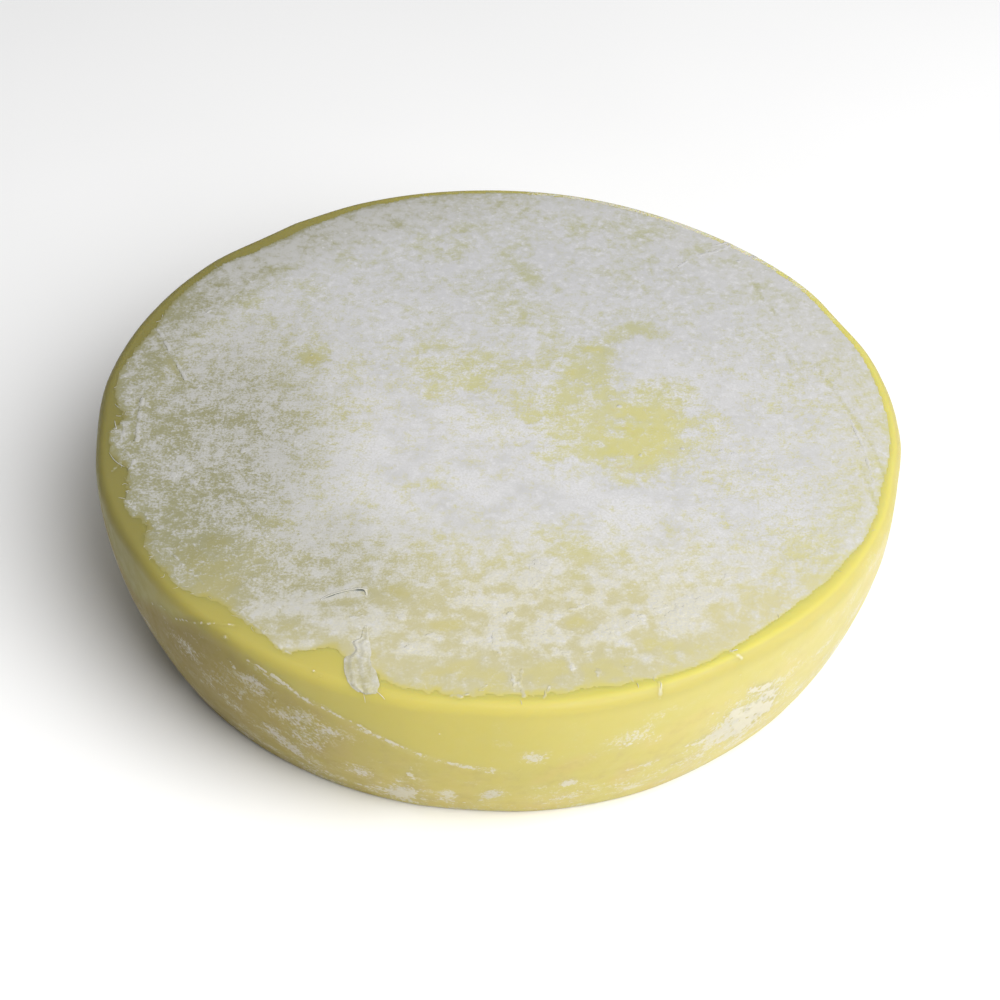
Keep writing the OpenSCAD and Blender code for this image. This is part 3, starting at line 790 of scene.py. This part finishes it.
def closed_strip(name, loops, layers):
    """A closed mesh from a row of closed loops of points, with capped ends."""
    rows, count = len(loops), len(loops[0])
    points = [p for loop in loops for p in loop]
    faces = ring_faces(rows, count)
    faces.append(tuple(reversed(range(count))))
    faces.append(tuple(range((rows - 1) * count, rows * count)))
    return mesh_object(name, points, faces, layers)


def resampled(points, count):
    """Points evenly spread along a smooth curve through the given rows of numbers."""
    rows = np.array(points, dtype=float)
    ends = np.vstack([2 * rows[0] - rows[1], rows, 2 * rows[-1] - rows[-2]])
    spread = []
    for t in np.linspace(0, len(rows) - 1 - 1e-9, count):
        i, f = int(t), t - int(t)
        p0, p1, p2, p3 = ends[i:i + 4]
        spread.append(0.5 * (2 * p1 + (p2 - p0) * f + (2 * p0 - 5 * p1 + 4 * p2 - p3) * f ** 2
                             + (3 * p1 - p0 - 3 * p2 + p3) * f ** 3))
    return np.array(spread)


def make_lip():
    """A leaf of film lifted along its crest, curling towards the front over a slot whose shadow is painted
    in.
    """
    path = resampled(LIP_CREST, 72)
    loops, dark = [], []
    ground = HEIGHT / MM + LIP_GROUND
    wobble = value_noise(path[:, 0] * MM, path[:, 1] * MM, 0.9, 81, 3)
    for i, (x, y, lift, shadow) in enumerate(path):
        before, after = path[max(i - 1, 0)], path[min(i + 1, len(path) - 1)]
        along = np.array([after[0] - before[0], after[1] - before[1]])
        along = along / np.hypot(*along)
        forward = np.array([along[1], -along[0]])
        width = (0.2 + 0.8 * lift) * (1 + 0.25 * wobble[i])
        loop = []
        for reach, rise, shade in LIP_SECTION:
            up = rise * lift * (1 + 0.3 * wobble[i]) if rise > 0 else rise
            px, py = x + forward[0] * reach * width, y + forward[1] * reach * width
            loop.append((px * MM, py * MM, (ground + up) * MM))
            dark.append(shade * min(max(shadow, 0.0), 1.0))
        loops.append(loop)
    # The painted shadow darkens the slot and thins the ash over it; 0.3 is painted shade over the whole lip
    return closed_strip("curled_lip", loops, plain_layers(0.8 - 0.3 * np.array(dark), np.array(dark), 0.3))


def make_flake():
    """A thin folded skirt of film hanging over the shoulder."""
    stations = resampled(FLAKE_STATIONS, 90)
    across = 44
    u = np.linspace(0, 1, across)
    v = np.linspace(0, 1, len(stations))[:, None]
    d = stations[:, 0][:, None] * MM + 0 * u
    azimuth = stations[:, 1][:, None] * (1 - u) + stations[:, 2][:, None] * u
    edge = np.minimum(u, 1 - u)
    fold = 0.5 + 0.5 * np.cos(2 * math.pi * (2.6 * u + 0.35 * np.sin(3.1 * v) + 0.15))
    fold = fold * smooth(0.05, 0.45, v)
    crumple = value_noise(u * 2.5 * MM + 0 * v, v * 4.0 * MM, 0.7, 91, 3)
    hem = smooth(0.9, 1.0, v)
    rolled = smooth(0.16, 0.0, u) * smooth(0.2, 0.6, v)
    height = 0.035 + 0.055 * fold + 0.03 * crumple + 0.03 * hem + 0.03 * rolled
    height = height * smooth(0.0, 0.08, v) * (1.0 - 0.6 * hem) * smooth(0.0, 0.24, edge)
    height = height + 0.045 * smooth(0.0, 0.05, v) * smooth(0.75, 0.45, v) * smooth(0.0, 0.35, edge)
    azimuth = azimuth + 0.34 * crumple * (edge < 0.1)
    d = d + 0.34 * MM * crumple * hem
    front = skin(azimuth, d, (height + 0.012) * MM)
    back = skin(azimuth, d, -0.03 * MM)
    loops = [list(front[i]) + list(back[i][::-1]) for i in range(len(stations))]
    cover = 0.4 + 0.14 * (1 - smooth(0.0, 0.14, edge)) + 0.22 * crumple + 0.1 * fold + 0.12 * hem
    cover = np.clip(cover + 0.3 * (1 - smooth(0.15, 0.6, v)), 0, 1)
    layer = np.concatenate([np.concatenate([row, row[::-1]]) for row in cover])
    # 0.42 is painted shade over the whole flake
    return closed_strip("hanging_flake", loops, plain_layers(layer, 0.0, 0.42))


def add_tube(points, radii, vertices, faces):
    """Adds a six-sided tube with pointed ends along the points."""
    start = len(vertices)
    count = len(points)
    vertices.append(points[0])
    for i in range(1, count - 1):
        ahead = Vector(points[i + 1]) - Vector(points[i - 1])
        side = ahead.cross(Vector((0.13, 0.21, 0.97))).normalized()
        over = side.cross(ahead).normalized()
        for k in range(6):
            turn = k * math.pi / 3
            out = math.cos(turn) * side + math.sin(turn) * over
            vertices.append(tuple(Vector(points[i]) + float(radii[i]) * out))
    vertices.append(points[-1])
    tip = len(vertices) - 1
    for k in range(6):
        n = (k + 1) % 6
        faces.append((start, start + 1 + k, start + 1 + n))
        for i in range(count - 3):
            a, b = start + 1 + 6 * i, start + 7 + 6 * i
            faces.append((a + k, b + k, b + n, a + n))
        last = start + 1 + 6 * (count - 3)
        faces.append((last + k, tip, last + n))


def make_fringe():
    """Whiskers of ash that stray over the film's edge."""
    chance = np.random.RandomState(7)
    whiskers = list(WHISKERS)
    for low, high, number in WHISKER_ZONES:
        for azimuth in chance.uniform(low, high, number):
            here = np.array([azimuth])
            inset = (FLAT_R - dent(here) - film_edge(here))[0] / MM
            lean, length = chance.normal(0, 0.9), chance.uniform(0.3, 0.9)
            start = -inset + chance.uniform(-1.0, 0.0)
            swing = length * math.sin(lean) / 0.68
            whiskers.append((azimuth, start, azimuth + swing, start + length * abs(math.cos(lean)) * 0.8,
                             chance.normal(0, 0.22), chance.uniform(0.014, 0.03)))
    vertices, faces = [], []
    for az0, d0, az1, d1, bend, radius in whiskers:
        t = np.linspace(0, 1, 8)
        arch = np.sin(math.pi * t)
        azimuth = az0 + (az1 - az0) * t + bend * arch
        points = skin(azimuth, (d0 + (d1 - d0) * t) * MM, (0.012 + 0.3 * radius + 0.02 * arch) * MM)
        add_tube([tuple(p) for p in points], radius * MM * (0.35 + 0.65 * arch), vertices, faces)
    return mesh_object("rim_fringe", vertices, faces, plain_layers(np.full(len(vertices), 0.9)))


# ---------------------------------------------------------------- materials

class Nodes:
    """A short way to write a node material. Sizes are in mm, and a value may be a number or a socket."""

    def __init__(self, name):
        self.material = bpy.data.materials.new(name)
        self.material.use_nodes = True
        self.tree = self.material.node_tree
        self.shader = self.tree.nodes["Principled BSDF"]
        self.place = self.make("TexCoord").outputs["Object"]

    def put(self, socket, value):
        if isinstance(value, bpy.types.NodeSocket):
            self.tree.links.new(value, socket)
        elif value is not None:
            socket.default_value = value

    def make(self, kind, inputs=None, **settings):
        node = self.tree.nodes.new("ShaderNode" + kind)
        for key, value in settings.items():
            setattr(node, key, value)
        for key, value in (inputs or {}).items():
            self.put(node.inputs[key], value)
        return node

    def attribute(self, name):
        return self.make("Attribute", attribute_name=name).outputs["Fac"]

    def math(self, operation, a, b=None, clamp=False):
        return self.make("Math", {0: a, 1: b}, operation=operation, use_clamp=clamp).outputs[0]

    def times(self, a, b):
        return self.math("MULTIPLY", a, b)

    def add(self, *values):
        total = values[0]
        for value in values[1:]:
            total = self.math("ADD", total, value)
        return total

    def scaled(self, value, gain):
        """A noise's distance from its middle, times a gain."""
        return self.times(self.math("SUBTRACT", value, 0.5), gain)

    def axis(self, name):
        return self.make("SeparateXYZ", {0: self.place}).outputs[name]

    def range(self, value, low, high, to_low=0.0, to_high=1.0):
        inputs = {0: value, 1: low, 2: high, 3: to_low, 4: to_high}
        return self.make("MapRange", inputs, interpolation_type="SMOOTHSTEP").outputs[0]

    def stretch(self, scale, turn=0.0):
        inputs = {"Vector": self.place, "Scale": scale, "Rotation": (0, 0, math.radians(turn))}
        return self.make("Mapping", inputs).outputs[0]

    def noise(self, size_mm, detail=3.0, rough=0.5, vector=None):
        inputs = {"Scale": 1000.0 / size_mm, "Detail": detail, "Roughness": rough}
        inputs["Vector"] = vector or self.place
        return self.make("TexNoise", inputs).outputs["Fac"]

    def cells(self, size_mm):
        inputs = {"Scale": 1000.0 / size_mm, "Vector": self.place}
        return self.make("TexVoronoi", inputs).outputs["Distance"]

    def mix(self, share, a, b):
        node = self.make("Mix", {"Factor": share}, data_type="RGBA")
        colours = [s for s in node.inputs if s.type == "RGBA"]
        for socket, value in zip(colours, (a, b)):
            self.put(socket, value if isinstance(value, bpy.types.NodeSocket) else (*value, 1.0))
        return next(s for s in node.outputs if s.type == "RGBA")

    def bump(self, height, depth_mm, strength=1.0):
        inputs = {"Strength": strength, "Distance": depth_mm * MM, "Height": height}
        return self.make("Bump", inputs).outputs["Normal"]

    def finish(self, colour, roughness, normal=None, subsurface=0.0, radius_mm=(1, 1, 1), specular=0.5):
        inputs = {"Base Color": colour, "Roughness": roughness, "Normal": normal}
        inputs["Subsurface Weight"] = subsurface
        inputs["Subsurface Radius"] = [r * MM for r in radius_mm]
        inputs["Subsurface Scale"] = 1.0
        inputs["Specular IOR Level"] = specular
        for key, value in inputs.items():
            self.put(self.shader.inputs[key], value)
        return self.material


# How far light of each colour scatters in the soap, in mm, and how much of it does
SCATTER_MM = (3.0, 2.2, 0.7)
BODY_SCATTER = 0.5

# Colours, linear: the soap, its haze, the ash, and the soap seen through thin ash, with painted light and
# shade colours among them
SOAP_YELLOW = (0.59, 0.494, 0.14)
SOAP_GREEN = (0.555, 0.486, 0.135)
SOAP_WARM = (0.585, 0.458, 0.17)
SOAP_GLOSSY = (0.572, 0.495, 0.116)
SOAP_BROWN = (0.43, 0.33, 0.12)
# Painted light and shade: the glossy soap lit on the right flat, shaded on the upper right shoulder and lit
# lower down; the dry soap lit to the right; the painted shade colours of the glossy and the dry soap
SOAP_FLAT_LIGHT = (0.6, 0.545, 0.118)
SOAP_SHOULDER_SHADE = (0.48, 0.425, 0.13)
SOAP_LIT = (0.555, 0.495, 0.158)
SOAP_RIGHT_LIGHT = (0.6, 0.55, 0.27)
SOAP_PAINTED_SHADE = (0.225, 0.2, 0.06)
SOAP_UMBER_SHADE = (0.228, 0.176, 0.044)
BLOOM_WHITE = (0.66, 0.63, 0.54)
# The bloom in painted shade
BLOOM_SHADE = (0.47, 0.44, 0.37)
ASH_HIGH = (0.625, 0.62, 0.622)
ASH_MID = (0.558, 0.553, 0.556)
# The ash's grey tone, also used as its painted shade to the right
ASH_GREY_AND_SHADE = (0.49, 0.486, 0.482)
ASH_WARM = (0.59, 0.562, 0.425)
# The ash in painted shade: far back, and where the painted shade layer is
ASH_FAR_SHADE = (0.462, 0.462, 0.474)
ASH_PAINTED_SHADE = (0.42, 0.415, 0.385)
BARE_PALE = (0.535, 0.512, 0.275)
BARE_YELLOW = (0.52, 0.497, 0.225)
BARE_ORANGE = (0.52, 0.44, 0.26)
# The bare soap in painted shade: far back and at the near left
BARE_FAR_SHADE = (0.42, 0.418, 0.27)
BARE_NEAR_SHADE = (0.48, 0.435, 0.268)
BARE_CREAM = (0.56, 0.508, 0.3)
# The bare soap in painted shade, and the slot under the lip painted as a shadow
BARE_PAINTED_SHADE = (0.272, 0.262, 0.152)
SLOT_SHADOW = (0.13, 0.145, 0.135)


def glossy_soap(n, painted_shade_level):
    """The bare glossy soap, with painted light and shade: lighter on the flat at the right, darker on the
    upper right shoulder where the key light's highlight falls, a lit copy lower on the right, and painted
    shade where the painted shade layer is.
    """
    lit = n.range(n.axis("X"), -0.012, 0.026)
    low = n.range(n.axis("Z"), HEIGHT - 2.2 * MM, HEIGHT - 0.8 * MM)
    flat = n.range(n.axis("Z"), HEIGHT - 0.25 * MM, HEIGHT - 0.02 * MM)
    colour = n.mix(lit, SOAP_GLOSSY, n.mix(low, SOAP_LIT, SOAP_SHOULDER_SHADE))
    return n.mix(painted_shade_level, n.mix(n.times(flat, lit), colour, SOAP_FLAT_LIGHT), SOAP_PAINTED_SHADE)


def soap_colour(n, gloss, painted_shade_level):
    """The bare soap: cloudy on the dry wall, glossy on the shoulder."""
    colour = n.mix(n.range(n.noise(14.0, 2.0), 0.35, 0.65), SOAP_YELLOW, SOAP_GREEN)
    colour = n.mix(n.range(n.noise(5.0, 3.0), 0.5, 0.72, 0.0, 0.6), colour, SOAP_WARM)
    colour = n.mix(n.range(n.noise(2.0, 4.0, 0.6), 0.46, 0.74, 0.0, 0.35), colour, SOAP_BROWN)
    # Painted light: paler towards the right, where the light falls
    colour = n.mix(n.range(n.axis("X"), 0.004, 0.036, 0.0, 0.5), colour, SOAP_RIGHT_LIGHT)
    # Where the painted shade layer is high, the dry wall takes its painted shade colour
    return n.mix(gloss, n.mix(painted_shade_level, colour, SOAP_UMBER_SHADE), glossy_soap(n, painted_shade_level))


def soap_material(name, subsurface):
    """Waxy soap under a broken white haze. Only the body scatters light below its surface."""
    n = Nodes(name)
    bloom, gloss, painted_shade_level = n.attribute("bloom"), n.attribute("gloss"), n.attribute("painted_shade")
    grain = n.noise(0.34, 4.0, 0.7)
    cloud = n.noise(2.4, 4.0, 0.62, n.stretch((0.7, 0.7, 1.3)))
    speck = n.add(n.scaled(grain, 1.0), n.scaled(cloud, 0.9), n.times(bloom, 0.62))
    haze = n.range(n.add(bloom, n.scaled(cloud, 0.4)), 0.0, 1.1)
    # The haze thins in painted shade, and the bloom takes its painted shade copy there
    haze = n.times(haze, n.range(painted_shade_level, 0.0, 0.7, 0.45, 0.12))
    fleck = n.times(n.range(speck, 0.13, 0.38), n.range(bloom, 0.05, 0.32))
    share = n.math("MAXIMUM", haze, n.times(fleck, 0.8))
    white = n.mix(n.range(painted_shade_level, 0.2, 1.0, 0.0, 0.8), BLOOM_WHITE, BLOOM_SHADE)
    colour = n.mix(share, soap_colour(n, gloss, painted_shade_level), white)
    rough = n.range(n.noise(1.2, 3.0), 0.3, 0.7, 0.5, 0.62)
    rough = n.add(rough, n.times(share, 0.3))
    rough = n.math("SUBTRACT", rough, n.times(gloss, 0.06), clamp=True)
    lumps = n.add(n.times(n.noise(1.6, 3.0), 0.8), n.times(grain, share))
    normal = n.bump(lumps, 0.08, 0.4)
    return n.finish(colour, rough, normal, subsurface, SCATTER_MM, 0.28)


def threads(n):
    """The cloth's print: short strokes along both of its directions, around 0."""
    thread_x = n.noise(0.3, 2.0, 0.55, n.stretch((0.42, 1.0, 1.0), 4))
    thread_y = n.noise(0.32, 2.0, 0.55, n.stretch((1.0, 0.42, 1.0), -3))
    return n.add(n.scaled(thread_x, 1.0), n.scaled(thread_y, 0.8))


def film_material(name):
    """White ash that partly hides the soap, with the cloth's print in it, and painted light and shade."""
    n = Nodes(name)
    cover, cloth, painted_shade_level = n.attribute("cover"), n.attribute("weave"), n.attribute("painted_shade")
    grain = n.noise(0.24, 3.0, 0.66)
    crumbs = n.noise(0.75, 4.0, 0.62)
    lace = n.noise(2.0, 5.0, 0.68)
    strokes = n.times(threads(n), n.add(n.times(cloth, 0.6), 0.22))
    grains = n.times(n.scaled(grain, 1.0), n.add(n.times(cloth, 1.9), 0.6))
    near, far = n.range(n.axis("Y"), -0.012, -0.028), n.range(n.axis("Y"), -0.004, 0.026)
    clumpy = n.times(near, n.range(n.axis("X"), -0.022, -0.008))
    clumps = n.times(n.scaled(n.noise(1.7, 2.5, 0.5), 2.6), n.times(clumpy, n.range(cover, 0.1, 0.4)))
    crumbly = n.times(n.scaled(crumbs, 1.0), n.range(clumpy, 0.0, 1.0, 1.8, 1.1))
    texture = n.add(n.scaled(lace, 1.4), crumbly, strokes, grains, clumps)
    shown = n.range(n.add(cover, texture), -0.05, 1.0)
    r = n.math("SQRT", n.add(n.times(n.axis("X"), n.axis("X")), n.times(n.axis("Y"), n.axis("Y"))))
    cream = n.times(n.range(r, 0.03, 0.0375), n.range(n.axis("X"), 0.0, 0.026))
    warm = n.math("MAXIMUM", near, cream)

    bare = n.mix(n.range(n.noise(2.2, 3.0), 0.5, 0.7, 0.0, 0.75), BARE_PALE, BARE_YELLOW)
    bare = n.mix(n.range(n.noise(0.9, 2.0), 0.62, 0.74, 0.0, 0.45), bare, BARE_ORANGE)
    # Painted shade on the bare soap at the near left, fading out to the right, and towards the back
    low = n.mix(n.range(n.axis("X"), 0.006, 0.026), BARE_NEAR_SHADE, BARE_CREAM)
    bare = n.mix(n.times(near, 0.7), bare, low)
    bare = n.mix(far, bare, BARE_FAR_SHADE)
    # Painted shade where the painted shade layer is; at the clear edge the glossy soap brings its painted
    # light and shade
    bare = n.mix(n.range(painted_shade_level, 0.1, 0.95, 0.0, 0.95), bare, BARE_PAINTED_SHADE)
    bare = n.mix(n.range(cover, -0.35, 0.2, 1.0, 0.0), bare, glossy_soap(n, painted_shade_level))
    ash = n.mix(n.range(n.noise(3.0, 5.0, 0.62), 0.34, 0.64), ASH_GREY_AND_SHADE, ASH_MID)
    ash = n.mix(n.range(n.noise(8.0, 3.0, 0.6), 0.42, 0.62, 0.0, 0.75), ash, ASH_HIGH)
    ash = n.mix(n.times(warm, 0.9), ash, ASH_WARM)
    # Painted shade on the ash towards the back
    ash = n.mix(n.times(far, 0.8), ash, ASH_FAR_SHADE)
    # Painted shade on the ash to the right, where the light is strongest
    ash = n.mix(n.range(n.axis("X"), 0.014, 0.034, 0.0, 0.55), ash, ASH_GREY_AND_SHADE)
    ash = n.mix(n.range(crumbs, 0.5, 0.72, 0.0, 0.6), ash, ASH_HIGH)
    ash = n.mix(n.range(grain, 0.36, 0.62, 0.6, 0.0), ash, ASH_GREY_AND_SHADE)
    # Painted shade where the painted shade layer is
    ash = n.mix(n.range(painted_shade_level, 0.05, 0.9, 0.0, 0.85), ash, ASH_PAINTED_SHADE)
    colour = n.mix(shown, bare, ash)
    dots = n.times(n.range(n.cells(0.7), 0.12, 0.26, 1.0, 0.0), n.range(n.noise(1.6, 2.0), 0.54, 0.64))
    colour = n.mix(n.times(dots, n.range(cover, 0.0, 0.4, 0.0, 0.45)), colour, ASH_HIGH)
    # Painted shadow in the slot under the lip
    colour = n.mix(n.attribute("dark"), colour, SLOT_SHADOW)

    height = n.add(n.times(shown, 0.6), n.times(grain, 0.5), strokes)
    normal = n.bump(height, 0.05, 0.4)
    rough = n.range(shown, 0.0, 1.0, 0.4, 0.9)
    return n.finish(colour, rough, normal)


# ---------------------------------------------------------------- stage

FOCUS = Vector((0.0, 0.0, HEIGHT / 2))
CAMERA_DISTANCE = 7.0 * RADIUS
CAMERA_ELEVATION = math.radians(41.3)
CAMERA_ROLL = math.radians(1.65)
FOCAL_LENGTH = 99.54
FRAME_SHIFT = (0.0032, -0.0112)
FLOOR_HALF = 2.0

# Azimuth, elevation, distance, size and power of the two soft lights, and the world's strength
KEY = (-45, 50, 0.45, 0.44, 2.95)
FILL = (110, 75, 0.8, 0.6, 0.6)
WORLD_STRENGTH = 0.2


def make_camera():
    data = bpy.data.cameras.new("camera")
    data.lens = FOCAL_LENGTH
    data.sensor_width = 36.0
    data.clip_start, data.clip_end = 0.01, 20.0
    data.shift_x, data.shift_y = FRAME_SHIFT
    camera = linked("camera", data)
    c, s = math.cos(CAMERA_ELEVATION), math.sin(CAMERA_ELEVATION)
    back = Vector((0.0, -c, s))
    up = Vector((0.0, s, c))
    right = Vector((1.0, 0.0, 0.0))
    turned_right = right * math.cos(CAMERA_ROLL) + up * math.sin(CAMERA_ROLL)
    turned_up = up * math.cos(CAMERA_ROLL) - right * math.sin(CAMERA_ROLL)
    pose = Matrix((turned_right, turned_up, back)).transposed().to_4x4()
    pose.translation = FOCUS + back * CAMERA_DISTANCE
    camera.matrix_world = pose
    bpy.context.scene.camera = camera


def area_light(name, azimuth, elevation, distance, size, power):
    data = bpy.data.lights.new(name, "AREA")
    data.shape = "DISK"
    data.size = size
    data.energy = power
    lamp = linked(name, data)
    a, e = math.radians(azimuth), math.radians(elevation)
    towards = Vector((math.cos(a) * math.cos(e), math.sin(a) * math.cos(e), math.sin(e)))
    lamp.location = FOCUS + towards * distance
    lamp.rotation_mode = "QUATERNION"
    lamp.rotation_quaternion = towards.to_track_quat("Z", "Y")


def make_floor():
    h = FLOOR_HALF
    floor = mesh_object("floor", [(-h, -h, 0), (h, -h, 0), (h, h, 0), (-h, h, 0)], [(0, 1, 2, 3)])
    n = Nodes("floor")
    colour = n.mix(n.range(n.noise(60.0, 2.0), 0.3, 0.7), (0.95, 0.95, 0.95), (0.93, 0.93, 0.93))
    floor.data.materials.append(n.finish(colour, 0.8, specular=0.2))


def make_light():
    world = bpy.data.worlds.new("studio")
    bpy.context.scene.world = world
    world.use_nodes = True
    background = world.node_tree.nodes["Background"]
    background.inputs["Color"].default_value = (1.0, 1.0, 1.0, 1.0)
    background.inputs["Strength"].default_value = WORLD_STRENGTH
    area_light("key", *KEY)
    area_light("fill", *FILL)
    bpy.context.scene.view_settings.view_transform = "Standard"


def place_piece(piece, material, node):
    piece.data.materials.append(material)
    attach(piece, "root")
    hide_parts(node)


# Crusts: node, spots, lines with their half width in mm and strength, thickness in mm, seed, whitening,
# how much noise breaks them up, the level that they are cut at, and how far their streaks are drawn out
SEAM_CRUMBS = [(dash, 0.3, 0.85) for dash in SEAM_DASHES]
FILM_CRUSTS = [
    ("rim_flakes", [], EDGE_FLAKES, 0.025, 101, 0.45, 0.7, 0.42, 1.0),
    ("crust_ridges", [], RIDGES, 0.045, 102, 0.7, 0.4, 0.42, 1.0),
    ("ash_grains", LUMPS, [], 0.03, 103, 0.8, 1.0, 0.42, 1.0),
]
WALL_CRUSTS = [
    ("wall_smear_right", SMEAR_RIGHT, [], 0.03, 111, 0.8, 1.0, 0.42, 3.0),
    ("wall_smear_left", SMEAR_LEFT, [], 0.03, 112, 0.15, 1.3, 0.34, 1.0),
    ("wall_smear_front", SMEAR_FRONT, [], 0.03, 113, 0.45, 1.0, 0.36, 1.0),
    ("seam_ash_beads", [], SEAM_CRUMBS, 0.045, 114, 0.6, 1.0, 0.42, 1.0),
    ("wall_ash_flecks", FLECKS, [(ARC_LINE, 0.22, 0.74)], 0.03, 115, 0.5, 1.0, 0.42, 1.0),
]


def build():
    make_camera()
    make_light()
    make_floor()
    place_piece(make_body(), soap_material("soap", BODY_SCATTER), "soap_body")
    place_piece(make_film(), film_material("ash_film"), "top_ash_film")
    flake = film_material("ash_flake")
    smear = soap_material("ash_smear", 0.0)
    place_piece(make_fringe(), flake, "rim_fringe")
    place_piece(make_lip(), flake, "curled_lip")
    place_piece(make_flake(), flake, "hanging_flake")
    for node, *shape in FILM_CRUSTS:
        place_piece(crust_piece(node, on_film, *shape), flake, node)
    for node, *shape in WALL_CRUSTS:
        place_piece(crust_piece(node, on_side, *shape), smear, node)


build()
